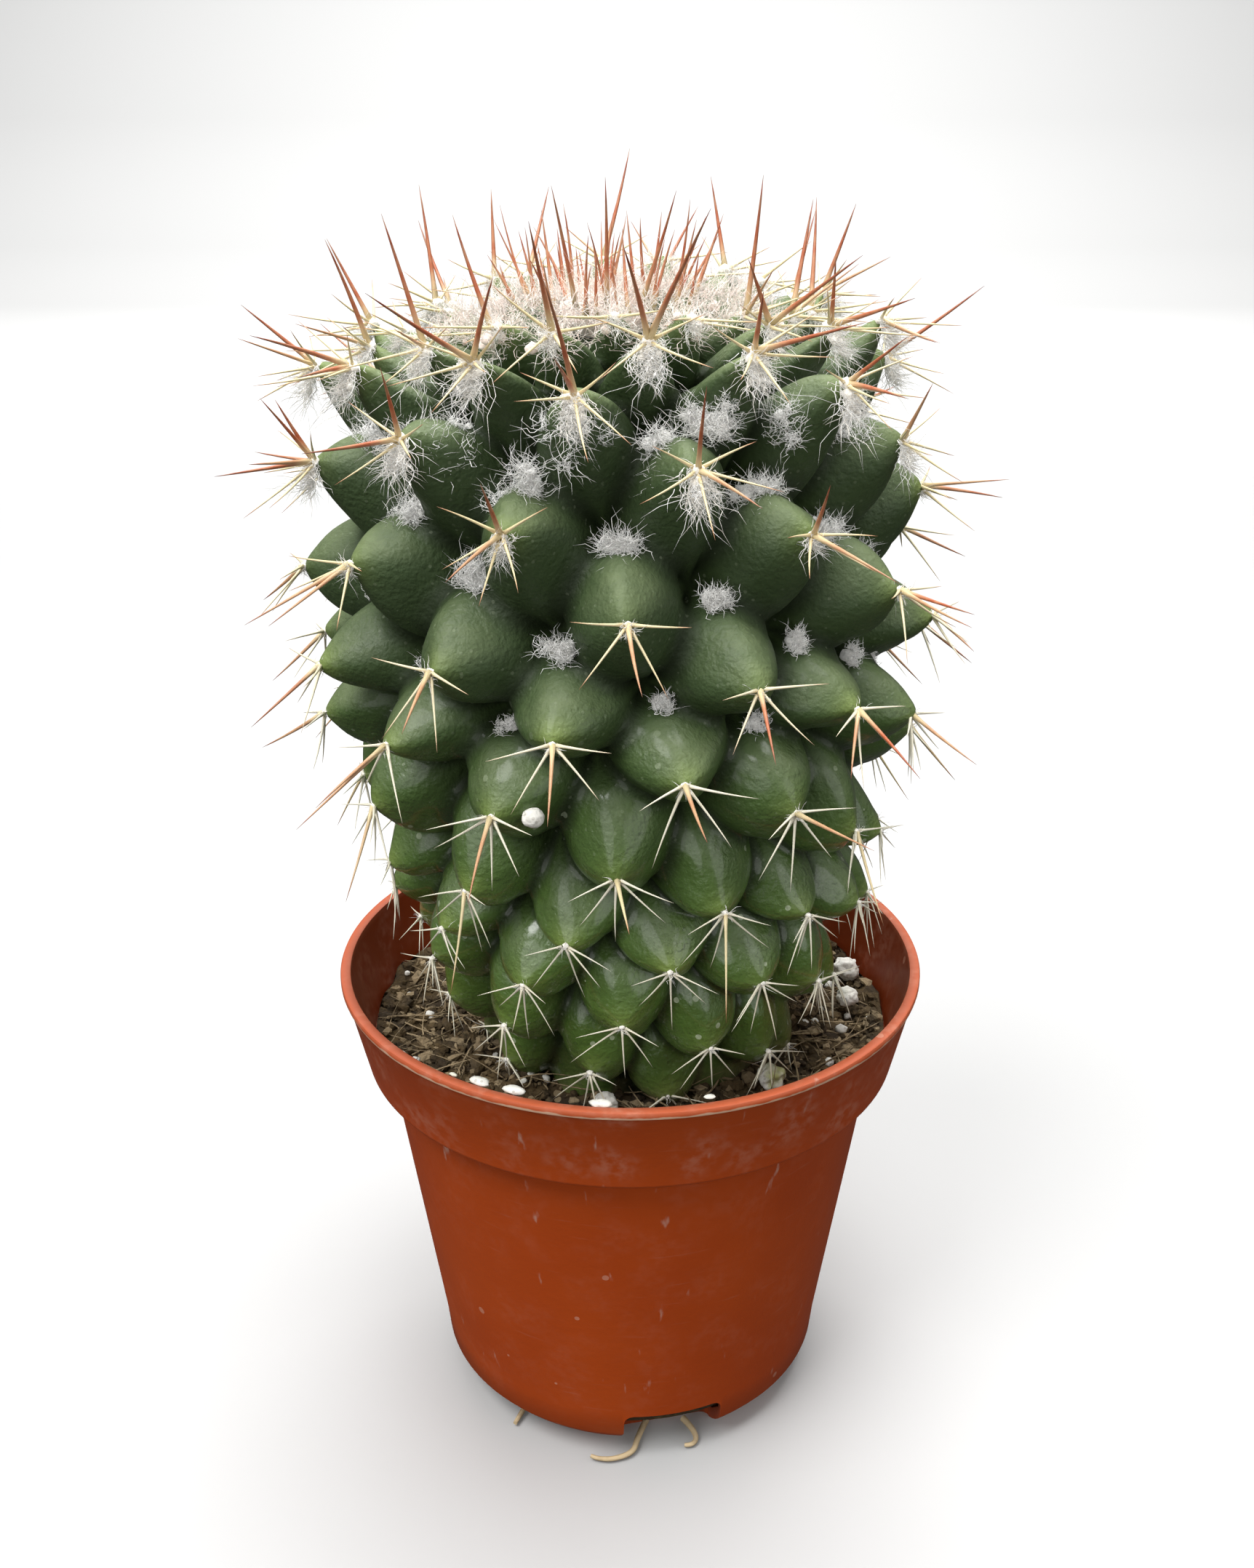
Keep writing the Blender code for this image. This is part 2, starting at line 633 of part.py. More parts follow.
def build_crown_spines(material):
    """Build the packed youngest areoles with their bunch of rust-brown spines."""
    bm = areole_pad(CROWN_PAD_RADIUS, 0.0009, CROWN_RING)
    bm.normal_update()
    rim = [f for f in bm.faces if len(f.verts) == 3 and f.normal.z > 0]
    bmesh.ops.inset_region(bm, faces=rim, thickness=CROWN_PAD_RADIUS * 0.35, use_even_offset=True)
    ring = [f for f in bm.faces if len(f.verts) == 4 and f.normal.z > 0.7]
    inner = rim[::2]
    for index, face in enumerate(ring + inner):
        centre = face.calc_center_median()
        spread = Vector((centre.x, centre.y, 0)) * (SPINE_SPREAD + 40.0 * math.sin(index * 2.4))
        direction = (spread + Vector((0, 0, 1))).normalized()
        length = CROWN_SPINE_LENGTH * (1.0 + 0.15 * math.sin(index * 1.9))
        grow_spine(bm, face, direction, length, 0.14, CROWN_SPINE_INSET)
    lift = Matrix.Translation((0, 0, CROWN_HEIGHT + CROWN_WOOL_HEIGHT + 5 * GAP))
    bmesh.ops.transform(bm, matrix=leaning() @ lift, verts=bm.verts)
    return add_object("crown_spines", bm, material, smooth=False)


def main():
    """Build every part of the plant and its pot."""
    clear_scene()
    build_pot(make_material("orange_brown_plastic", ORANGE_BROWN, 0.45))
    build_soil(make_material("peat_soil", PEAT, 0.95))
    build_stem(make_material("green_skin", GREEN, 0.50))
    root_material = make_material("root_fibre", ROOT_BEIGE, 0.80)
    build_taproot(root_material)
    wool = make_material("white_wool", WHITE_WOOL, 0.95)
    build_crown_wool(wool)
    build_crown_spines(make_material("rust_spines", RUST, 0.50))
    for index, (number, stand_out) in enumerate(TUFTS):
        build_tuft(index + 1, number, stand_out, wool)
    stone = make_material("perlite", PERLITE, 0.90)
    for index, (place, radius) in enumerate(grain_places()):
        woolly_lump("perlite_%d" % (index + 1), radius, GRAIN_SQUASH, Matrix.Translation(place), stone)
    for index, (notch, points) in enumerate(ROOT_ROUTES):
        build_root_strand("root_strand_%d" % (index + 1), notch, points, root_material)
    cream = make_material("cream_spines", CREAM, 0.55)
    for number in range(FIRST_SPINED_AREOLE, LAST_SPINED_AREOLE + 1):
        build_areole(number, cream)


main()
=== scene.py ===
"""The looks of a small club-shaped cactus in a round plastic grower's pot.

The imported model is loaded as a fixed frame. The plant's skin, spines, wool, soil, grit, pot and
roots are then built as finer pieces in the same place, on the same golden-angle lattice as the
frame's stem, and each gets its own procedural finish. All sizes are in metres.
"""
import json
import logging
import math
from dataclasses import dataclass, field
from enum import Enum

import bmesh
import bpy
import numpy as np
from mathutils import Matrix, Vector, noise

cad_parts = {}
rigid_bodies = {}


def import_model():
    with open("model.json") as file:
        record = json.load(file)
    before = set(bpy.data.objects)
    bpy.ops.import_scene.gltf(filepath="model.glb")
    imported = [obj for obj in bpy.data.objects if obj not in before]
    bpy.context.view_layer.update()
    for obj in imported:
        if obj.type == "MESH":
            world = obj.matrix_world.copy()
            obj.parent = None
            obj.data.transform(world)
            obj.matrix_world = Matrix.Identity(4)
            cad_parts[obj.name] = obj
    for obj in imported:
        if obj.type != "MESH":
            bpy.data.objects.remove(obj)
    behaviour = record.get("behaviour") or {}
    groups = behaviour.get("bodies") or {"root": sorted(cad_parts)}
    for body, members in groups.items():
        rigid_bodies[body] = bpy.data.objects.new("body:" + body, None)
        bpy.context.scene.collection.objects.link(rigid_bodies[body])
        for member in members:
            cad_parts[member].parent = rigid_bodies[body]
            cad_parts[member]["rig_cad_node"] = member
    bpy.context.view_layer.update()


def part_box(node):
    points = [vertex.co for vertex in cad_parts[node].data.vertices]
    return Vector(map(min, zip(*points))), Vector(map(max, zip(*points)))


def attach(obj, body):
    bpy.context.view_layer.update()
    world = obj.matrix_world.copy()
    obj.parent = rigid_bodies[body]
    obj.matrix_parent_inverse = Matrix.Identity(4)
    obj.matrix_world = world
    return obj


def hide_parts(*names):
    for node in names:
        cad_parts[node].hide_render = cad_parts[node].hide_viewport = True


LOG = logging.getLogger("potted_round_cactus")
ROOT_BODY = "root"
MM = 0.001
GOLDEN_ANGLE = math.radians(137.508)
Colour = tuple[float, float, float]
Triple = tuple[float, float, float] | np.ndarray | Vector
Feed = bpy.types.NodeSocket | float | tuple


class Tint(Enum):
    """Where a spine stands between whitish, cream and rust-brown."""

    NEEDLE = 0.0
    CREAM = 0.5
    PINKISH = 0.8
    RUST = 1.0


class Fluff(Enum):
    """The kinds of wool on the plant, from bright crown wool to greyish axil wool."""

    CROWN = 0.0
    AREOLE = 0.5
    AXIL = 1.0


# ---------------------------------------------------------------- node sheets and shared groups


class NodeSheet:
    """Lays nodes in a tree and links them."""

    def __init__(self, tree: bpy.types.NodeTree) -> None:
        """Keep the tree to draw in."""
        self.tree = tree

    def add(self, kind: str, inputs: dict | None = None, **settings) -> bpy.types.Node:
        """Add one node.

        Args:
            kind: the node's type name.
            inputs: socket names or numbers with values, or sockets to link from.
            settings: properties to set on the node.

        Returns:
            The new node.
        """
        node = self.tree.nodes.new(kind)
        for key, value in settings.items():
            setattr(node, key, value)
        for key, value in (inputs or {}).items():
            socket = node.inputs[key]
            if isinstance(value, bpy.types.NodeSocket):
                self.tree.links.new(value, socket)
            else:
                socket.default_value = value
        return node

    def maths(self, operation: str, *values: Feed, clamp: bool = False) -> bpy.types.NodeSocket:
        """Return the result of one Math node on numbers or sockets.

        Args:
            operation: the node's operation.
            values: its numbers or sockets.
            clamp: whether the result stays in 0 to 1.

        Returns:
            The socket of the result.
        """
        node = self.add("ShaderNodeMath", dict(enumerate(values)), operation=operation)
        node.use_clamp = clamp
        return node.outputs[0]

    def times(self, first: Feed, *others: Feed) -> bpy.types.NodeSocket:
        """Return the product of numbers or sockets."""
        for other in others:
            first = self.maths("MULTIPLY", first, other)
        return first

    def flip(self, mask: Feed) -> bpy.types.NodeSocket:
        """Return one minus a mask."""
        return self.maths("SUBTRACT", 1.0, mask)

    def between(self, value: Feed, low: float, high: float) -> bpy.types.NodeSocket:
        """Return a smooth 0 to 1 ramp of a value between two limits.

        Args:
            value: the socket to read.
            low: where the ramp starts.
            high: where it ends.

        Returns:
            The ramp from 0 to 1.
        """
        inputs = {"Value": value, "From Min": low, "From Max": high}
        node = self.add("ShaderNodeMapRange", inputs, interpolation_type="SMOOTHSTEP")
        return node.outputs["Result"]

    def mix(self, factor: Feed, first: Feed, second: Feed) -> bpy.types.NodeSocket:
        """Return a colour mixed from two colours or sockets.

        Args:
            factor: the share of the second.
            first: a colour or socket.
            second: a colour or socket.

        Returns:
            The mixed colour.
        """
        inputs = {}
        for key, value in ((0, factor), (6, first), (7, second)):
            inputs[key] = (*value, 1.0) if isinstance(value, tuple) else value
        return self.add("ShaderNodeMix", inputs, data_type="RGBA").outputs[2]

    def noise(self, vector: Feed, scale: Feed, detail: float = 2.0) -> bpy.types.NodeSocket:
        """Return a soft noise value about one half."""
        inputs = {"Vector": vector, "Scale": scale, "Detail": detail}
        return self.add("ShaderNodeTexNoise", inputs).outputs["Fac"]

    def group(self, tree: bpy.types.NodeTree, inputs: dict) -> bpy.types.Node:
        """Place a shared group with its own values."""
        return self.add("ShaderNodeGroup", inputs, node_tree=tree)


class SharedGroups:
    """The node groups that more than one finish uses, each built once."""

    def __init__(self) -> None:
        """Build the groups."""
        self.patches = self._patches()
        self.flecks = self._flecks()
        self.grain = self._grain()

    @staticmethod
    def _new(name: str, inputs: dict[str, float], output: str) -> tuple:
        """Start a group with a vector, some numbers in and one number out.

        Args:
            name: the group's name.
            inputs: its numbers with their first values.
            output: the name of its output.

        Returns:
            The tree, its sheet, its input sockets and the socket of its output.
        """
        tree = bpy.data.node_groups.new(name, "ShaderNodeTree")
        tree.interface.new_socket("Vector", in_out="INPUT", socket_type="NodeSocketVector")
        for key, value in inputs.items():
            socket = tree.interface.new_socket(key, in_out="INPUT", socket_type="NodeSocketFloat")
            socket.default_value = value
        tree.interface.new_socket(output, in_out="OUTPUT", socket_type="NodeSocketFloat")
        sheet = NodeSheet(tree)
        start = sheet.add("NodeGroupInput")
        end = sheet.add("NodeGroupOutput")
        return tree, sheet, start.outputs, end.inputs[output]

    def _patches(self) -> bpy.types.NodeTree:
        """Soft-edged patches: noise cut between Low and High.

        Returns:
            The group.
        """
        numbers = {"Scale": 100.0, "Low": 0.4, "High": 0.6}
        tree, sheet, inputs, end = self._new("soft_patches", numbers, "Mask")
        value = sheet.noise(inputs["Vector"], inputs["Scale"], 4.0)
        ramp = sheet.add("ShaderNodeMapRange", {"Value": value, "From Min": inputs["Low"],
                                                "From Max": inputs["High"]},
                         interpolation_type="SMOOTHSTEP")
        tree.links.new(ramp.outputs["Result"], end)
        return tree

    def _flecks(self) -> bpy.types.NodeTree:
        """Small round flecks, some cells of a Voronoi pattern only.

        Returns:
            The group.
        """
        numbers = {"Scale": 800.0, "Size": 0.2, "Share": 0.5}
        tree, sheet, inputs, end = self._new("round_flecks", numbers, "Mask")
        cells = sheet.add("ShaderNodeTexVoronoi",
                          {"Vector": inputs["Vector"], "Scale": inputs["Scale"]})
        near = sheet.maths("LESS_THAN", cells.outputs["Distance"], inputs["Size"])
        dice = sheet.add("ShaderNodeSeparateColor", {0: cells.outputs["Color"]})
        kept = sheet.maths("LESS_THAN", dice.outputs[0], inputs["Share"])
        tree.links.new(sheet.times(near, kept), end)
        return tree

    def _grain(self) -> bpy.types.NodeTree:
        """A fine grain in two sizes, for bumps.

        Returns:
            The group.
        """
        numbers = {"Scale": 900.0, "Coarse": 0.5}
        tree, sheet, inputs, end = self._new("fine_grain", numbers, "Height")
        fine = sheet.noise(inputs["Vector"], inputs["Scale"], 2.0)
        wide = sheet.times(inputs["Scale"], 0.22)
        coarse = sheet.noise(inputs["Vector"], wide, 2.0)
        both = sheet.maths("MULTIPLY_ADD", coarse, inputs["Coarse"], fine)
        tree.links.new(both, end)
        return tree


class Material:
    """A new material with its shader, a sheet and the piece's own coordinates."""

    def __init__(self, name: str, groups: SharedGroups | None = None) -> None:
        """Start the material, which may use the shared groups."""
        self.groups = groups
        self.data = bpy.data.materials.new(name)
        self.data.use_nodes = True
        self.sheet = NodeSheet(self.data.node_tree)
        self.shader = self.data.node_tree.nodes["Principled BSDF"]
        self.place = self.sheet.add("ShaderNodeTexCoord").outputs["Object"]

    def put(self, key: str, value: Feed) -> None:
        """Set or link one of the shader's sockets.

        Args:
            key: the socket's name.
            value: a number, a colour or a socket.
        """
        if isinstance(value, bpy.types.NodeSocket):
            self.data.node_tree.links.new(value, self.shader.inputs[key])
        elif isinstance(value, tuple):
            self.shader.inputs[key].default_value = (*value, 1.0)
        else:
            self.shader.inputs[key].default_value = value

    def attribute(self, name: str) -> bpy.types.NodeSocket:
        """Return a number stored on the piece's points."""
        return self.sheet.add("ShaderNodeAttribute", attribute_name=name).outputs["Fac"]

    def bump(self, height: Feed, strength: float, distance: float,
             under: bpy.types.NodeSocket | None = None) -> bpy.types.NodeSocket:
        """Add a bump and link it to the shader.

        Args:
            height: the socket that gives the height.
            strength: how strong the bump is.
            distance: the height of a full step in metres.
            under: the normal of another bump that it lies on.

        Returns:
            The bump's normal.
        """
        inputs = {"Height": height, "Strength": strength, "Distance": distance}
        if under is not None:
            inputs["Normal"] = under
        normal = self.sheet.add("ShaderNodeBump", inputs).outputs["Normal"]
        self.put("Normal", normal)
        return normal

    def patches(self, scale: float, low: float, high: float,
                place: bpy.types.NodeSocket | None = None) -> bpy.types.NodeSocket:
        """Return a mask of soft patches.

        Args:
            scale: how many patches to the metre.
            low: the noise where a patch starts.
            high: the noise where it is full.
            place: other coordinates than the piece's own.
        """
        inputs = {"Vector": place or self.place, "Scale": scale, "Low": low, "High": high}
        return self.sheet.group(self.groups.patches, inputs).outputs[0]

    def flecks(self, scale: float, size: float, share: float) -> bpy.types.NodeSocket:
        """Return a mask of round flecks, a share of so many cells to the metre."""
        inputs = {"Vector": self.place, "Scale": scale, "Size": size, "Share": share}
        return self.sheet.group(self.groups.flecks, inputs).outputs[0]

    def grain(self, scale: float, coarse: float) -> bpy.types.NodeSocket:
        """Return the height of a fine grain with some coarser grain in it."""
        inputs = {"Vector": self.place, "Scale": scale, "Coarse": coarse}
        return self.sheet.group(self.groups.grain, inputs).outputs[0]


# ---------------------------------------------------------------- finishes


@dataclass(frozen=True)
class PotPlastic:
    """Satin orange-brown polypropylene with a paler lip, scuffs, lime haze and tiny pits, and a darker
    inner wall that is painted shade.
    """

    lip_foot: float
    height: float
    body: Colour = (0.430, 0.062, 0.007)
    shade: Colour = (0.350, 0.044, 0.005)
    # Painted shade: the same plastic darkened for the inner wall, where the pot shades itself.
    inside: Colour = (0.230, 0.034, 0.006)
    lip: Colour = (0.520, 0.140, 0.070)
    flash: Colour = (0.640, 0.440, 0.300)
    haze: Colour = (0.600, 0.290, 0.200)
    scuff: Colour = (0.600, 0.420, 0.340)
    soil: Colour = (0.060, 0.036, 0.022)

    def make(self, groups: SharedGroups) -> bpy.types.Material:
        """Return the plastic.

        Args:
            groups: the shared groups.

        Returns:
            The material.
        """
        made = Material("orange_brown_plastic", groups)
        sheet = made.sheet
        height = sheet.add("ShaderNodeSeparateXYZ", {0: made.place}).outputs["Z"]
        blotch = made.patches(70.0, 0.35, 0.68)
        colour = sheet.mix(sheet.times(blotch, 0.45), self.body, self.shade)
        # Painted shade: the inner wall is mixed towards the darker inside colour, standing in for the
        # shade within the pot.
        colour = sheet.mix(made.attribute("inside"), colour, self.inside)
        colour = self.on_lip(made, height, colour)
        colour, haze, scuff = self.worn(made, height, colour)
        made.put("Base Color", colour)
        rough = sheet.maths("MULTIPLY_ADD", haze, 0.16, 0.40)
        rough = sheet.maths("MULTIPLY_ADD", scuff, 0.15, rough)
        made.put("Roughness", rough)
        made.put("Specular IOR Level", 0.28)
        grain = made.grain(1600.0, 1.2)
        skin = made.bump(grain, 0.16, 0.00010)
        pits = made.flecks(300.0, 0.12, 0.12)
        made.bump(sheet.flip(pits), 0.30, 0.00008, skin)
        return made.data

    def on_lip(self, made: Material, height: Feed, colour: Feed) -> Feed:
        """Pale the lip and draw its ragged line of flash.

        Args:
            made: the material.
            height: the height on the pot.
            colour: the colour so far.

        Returns:
            The new colour.
        """
        sheet = made.sheet
        on_lip = sheet.between(height, self.lip_foot, self.lip_foot + 0.0006)
        colour = sheet.mix(sheet.times(on_lip, 0.55), colour, self.lip)
        ragged = sheet.maths("MULTIPLY_ADD", sheet.noise(made.place, 420.0, 3.0), 0.0006, height)
        off = sheet.maths("ABSOLUTE", sheet.maths("SUBTRACT", ragged, self.lip_foot + 0.00040))
        flash = sheet.flip(sheet.between(off, 0.00008, 0.00022))
        outer = sheet.flip(made.attribute("inside"))
        flash = sheet.times(flash, outer)
        return sheet.mix(sheet.times(flash, 0.85), colour, self.flash)

    def worn(self, made: Material, height: Feed, colour: Feed) -> tuple:
        """Lay lime haze, scuffs, scratches, crumbs and dirt over the colour.

        Args:
            made: the material.
            height: the height on the pot.
            colour: the colour so far.

        Returns:
            The new colour, the haze mask and the scuff mask.
        """
        sheet = made.sheet
        haze = made.patches(240.0, 0.40, 0.74)
        collar = sheet.between(height, self.height * 0.78, self.height * 0.86)
        broken = made.patches(1100.0, 0.34, 0.66)
        amount = sheet.maths("MULTIPLY_ADD", collar, 0.27, 0.06)
        amount = sheet.times(amount, broken)
        colour = sheet.mix(sheet.times(haze, amount), colour, self.haze)
        streak_place = sheet.add("ShaderNodeMapping", {"Vector": made.place,
                                                       "Rotation": (0.0, 0.35, 0.0),
                                                       "Scale": (2.0, 2.0, 0.5)}).outputs[0]
        scuff = made.patches(340.0, 0.68, 0.78, streak_place)
        colour = sheet.mix(sheet.times(scuff, 0.55), colour, self.scuff)
        scratch_place = sheet.add("ShaderNodeMapping", {"Vector": made.place,
                                                        "Rotation": (0.12, 0.08, 0.0),
                                                        "Scale": (0.7, 0.7, 9.0)}).outputs[0]
        scratch = made.patches(260.0, 0.64, 0.80, scratch_place)
        colour = sheet.mix(sheet.times(scratch, 0.07), colour, self.scuff)
        crumbs = made.flecks(420.0, 0.16, 0.10)
        colour = sheet.mix(sheet.times(crumbs, 0.55), colour, self.haze)
        wet = sheet.flip(sheet.between(height, 0.0, 0.0016))
        dirt = made.patches(500.0, 0.48, 0.62)
        dirty = sheet.times(wet, dirt, 0.6)
        return sheet.mix(dirty, colour, self.soil), haze, scuff


@dataclass(frozen=True)
class CactusSkin:
    """Waxy grey-green skin that is yellower at the tips and glossier and greener lower down, with a
    painted sheen on the tops that face up and painted shade in the grooves and creases.
    """

    # Near-black green: painted shade deep in the creases between tubercles.
    crease_shade: Colour = (0.008, 0.014, 0.004)
    # Dark yellow-green: partly the skin's own colour in the grooves, partly painted shade.
    groove: Colour = (0.024, 0.044, 0.008)
    young: Colour = (0.046, 0.075, 0.028)
    old: Colour = (0.077, 0.142, 0.028)
    # The pale colour of the glaucous wax, also used for the painted sheen on the tops that face up.
    bloom_and_sheen: Colour = (0.170, 0.212, 0.103)
    tip: Colour = (0.250, 0.330, 0.075)
    fleck: Colour = (0.480, 0.540, 0.380)
    cork: Colour = (0.300, 0.260, 0.130)

    def make(self, groups: SharedGroups) -> bpy.types.Material:
        """Return the skin.

        Args:
            groups: the shared groups.

        Returns:
            The material.
        """
        made = Material("green_skin", groups)
        sheet = made.sheet
        age = made.attribute("age")
        rise = made.attribute("rise")
        tip = made.attribute("tip")
        tone = made.attribute("tone")
        lower = sheet.between(age, 0.38, 0.72)
        colour = sheet.mix(lower, self.young, self.old)
        patches = made.patches(190.0, 0.36, 0.66)
        # Partly real and partly painted highlight: crests that face up are mixed towards the pale wax
        # colour, the real glaucous wax together with a painted sheen of the light from above.
        normal = sheet.add("ShaderNodeNewGeometry").outputs["Normal"]
        facing = sheet.add("ShaderNodeSeparateXYZ", {0: normal})
        top_lit = sheet.between(facing.outputs["Z"], -0.05, 0.95)
        crest = sheet.times(sheet.between(rise, 0.30, 0.90), top_lit)
        upper = sheet.maths("MULTIPLY_ADD", lower, 0.05, 0.85)
        cloudy = sheet.maths("MULTIPLY_ADD", patches, 0.45, 0.55)
        wax_and_sheen = sheet.times(crest, upper, cloudy)
        colour = sheet.mix(sheet.times(wax_and_sheen, 0.75), colour, self.bloom_and_sheen)
        # Mottling on the same up-facing crests, which carries the painted sheen too.
        mottle = made.patches(900.0, 0.42, 0.62)
        speckled = sheet.times(mottle, crest)
        colour = sheet.mix(sheet.times(speckled, 0.22), colour, self.bloom_and_sheen)
        # Partly real colour and partly painted shade: the low grooves between tubercles are mixed
        # towards the dark yellow-green groove colour.
        deep = sheet.flip(sheet.between(rise, 0.10, 0.62))
        colour = sheet.mix(sheet.times(deep, 0.80), colour, self.groove)
        # Painted shade: the seams between tubercles are darkened almost to black, standing in for the
        # shade deep in the creases.
        seam = sheet.between(made.attribute("seam"), 0.86, 1.0)
        colour = sheet.mix(sheet.times(seam, 0.75), colour, self.crease_shade)
        glow = sheet.maths("MULTIPLY_ADD", lower, 0.20, 0.10)
        glow = sheet.maths("MULTIPLY_ADD", tone, 0.40, glow)
        colour = sheet.mix(sheet.maths("MULTIPLY", tip, glow, clamp=True), colour, self.tip)
        made.put("Base Color", self.marked(made, lower, colour))
        rough = sheet.maths("MULTIPLY_ADD", lower, -0.22, 0.50)
        rough = sheet.maths("MULTIPLY_ADD", patches, 0.12, rough)
        rough = sheet.maths("MULTIPLY_ADD", deep, 0.45, rough, clamp=True)
        made.put("Roughness", rough)
        made.put("Specular IOR Level", 0.30)
        clear = sheet.flip(deep)
        made.put("Coat Weight", sheet.times(lower, clear, 0.90))
        made.put("Coat Roughness", 0.14)
        self.uneven(made, lower, crest)
        return made.data

    def marked(self, made: Material, lower: Feed, colour: Feed) -> Feed:
        """Add pale flecks all over, blots on the lower half and cork at the foot.

        Args:
            made: the material.
            lower: the mask of the lower half.
            colour: the colour so far.

        Returns:
            The new colour.
        """
        sheet = made.sheet
        flecks = made.flecks(1500.0, 0.20, 0.35)
        colour = sheet.mix(sheet.times(flecks, 0.10), colour, self.fleck)
        blots = made.flecks(560.0, 0.15, 0.22)
        amount = sheet.times(blots, lower, 0.62)
        colour = sheet.mix(amount, colour, self.fleck)
        foot = sheet.between(made.attribute("age"), 0.90, 1.0)
        bark = made.patches(320.0, 0.40, 0.60)
        corky = sheet.times(foot, bark, 0.7)
        return sheet.mix(corky, colour, self.cork)

    def uneven(self, made: Material, lower: Feed, crest: Feed) -> None:
        """Stack the pores, the soft waves and the blisters as bumps.

        Args:
            made: the material.
            lower: the mask of the lower half.
            crest: the mask of the tops.
        """
        sheet = made.sheet
        grain = made.grain(2600.0, 0.8)
        fine = made.bump(grain, 0.75, 0.00018)
        soft = made.grain(620.0, 0.8)
        wavy = sheet.times(soft, sheet.maths("MULTIPLY_ADD", lower, 0.8, 0.2))
        wavy = made.bump(wavy, 0.75, 0.00040, fine)
        blisters = made.patches(1300.0, 0.50, 0.66)
        raised = sheet.times(blisters, crest, lower)
        made.bump(raised, 0.60, 0.00016, wavy)


@dataclass(frozen=True)
class SpineFinish:
    """Spines from whitish needles over brown-tipped cream ones to rust-brown ones."""

    white: Colour = (0.800, 0.760, 0.620)
    cream: Colour = (0.740, 0.620, 0.360)
    rust: Colour = (0.430, 0.110, 0.045)
    brown: Colour = (0.260, 0.062, 0.028)
    dark: Colour = (0.110, 0.026, 0.016)

    def make(self, groups: SharedGroups) -> bpy.types.Material:
        """Return the spines' finish.

        Args:
            groups: the shared groups.

        Returns:
            The material.
        """
        made = Material("spine_horn", groups)
        sheet = made.sheet
        along = made.attribute("along")
        tint = made.attribute("tint")
        creamy = sheet.between(tint, 0.05, 0.45)
        rusty = sheet.between(tint, 0.55, 0.95)
        colour = sheet.mix(creamy, self.white, self.cream)
        browning = sheet.times(sheet.between(along, 0.62, 1.0), creamy)
        colour = sheet.mix(sheet.times(browning, 0.85), colour, self.rust)
        red = sheet.mix(sheet.between(along, 0.0, 0.35), self.cream, self.rust)
        red = sheet.mix(sheet.between(along, 0.45, 0.95), red, self.brown)
        colour = sheet.mix(rusty, colour, red)
        point = sheet.times(sheet.between(along, 0.90, 1.0), tint)
        colour = sheet.mix(point, colour, self.dark)
        streak = made.patches(900.0, 0.35, 0.65)
        light = sheet.times(streak, 0.18)
        colour = sheet.mix(light, colour, self.cream)
        made.put("Base Color", colour)
        made.put("Roughness", 0.38)
        made.put("Specular IOR Level", 0.5)
        grain = made.grain(2200.0, 0.5)
        made.bump(grain, 0.15, 0.00006)
        return made.data


@dataclass(frozen=True)
class WoolFinish:
    """Bright matted wool: pinkish in the crown, cream on areoles and grey-white in axils, with a faint
    glow of painted light.
    """

    crown: Colour = (0.880, 0.720, 0.640)
    areole: Colour = (0.920, 0.870, 0.780)
    axil: Colour = (0.940, 0.930, 0.900)
    shadow: Colour = (0.760, 0.720, 0.660)

    def make(self, groups: SharedGroups) -> bpy.types.Material:
        """Return the wool's finish.

        Args:
            groups: the shared groups.

        Returns:
            The material.
        """
        made = Material("white_wool", groups)
        sheet = made.sheet
        kind = made.attribute("tint")
        colour = sheet.mix(sheet.between(kind, 0.1, 0.4), self.crown, self.areole)
        colour = sheet.mix(sheet.between(kind, 0.6, 0.9), colour, self.axil)
        clumps = made.patches(800.0, 0.30, 0.62)
        dull = sheet.times(sheet.flip(clumps), 0.20)
        colour = sheet.mix(dull, colour, self.shadow)
        made.put("Base Color", colour)
        made.put("Roughness", 0.95)
        made.put("Sheen Weight", 0.85)
        made.put("Sheen Roughness", 0.55)
        made.put("Specular IOR Level", 0.2)
        fuzz = made.grain(3000.0, 1.0)
        made.bump(fuzz, 0.6, 0.00025)
        # Painted light: a faint emission in the wool's own colour makes the wool glow a little,
        # brightening it where it lies in shade, in place of light scattered through the hairs.
        made.put("Emission Color", colour)
        made.put("Emission Strength", 0.09)
        return made.data


@dataclass(frozen=True)
class PeatFinish:
    """Dark crumbly peat with lighter bits of fibre and bark."""

    dark: Colour = (0.036, 0.025, 0.015)
    brown: Colour = (0.094, 0.063, 0.028)
    straw: Colour = (0.420, 0.320, 0.190)

    def make(self, groups: SharedGroups) -> bpy.types.Material:
        """Return the peat.

        Args:
            groups: the shared groups.

        Returns:
            The material.
        """
        made = Material("peat_soil", groups)
        sheet = made.sheet
        clods = made.patches(420.0, 0.34, 0.66)
        colour = sheet.mix(clods, self.dark, self.brown)
        bits = made.flecks(900.0, 0.34, 0.16)
        colour = sheet.mix(sheet.times(bits, 0.55), colour, self.straw)
        loose = made.attribute("tint")
        colour = sheet.mix(sheet.times(loose, 0.75), colour, self.straw)
        made.put("Base Color", colour)
        made.put("Roughness", 0.95)
        made.put("Specular IOR Level", 0.25)
        grain = made.grain(1500.0, 1.5)
        made.bump(grain, 0.9, 0.0005)
        return made.data


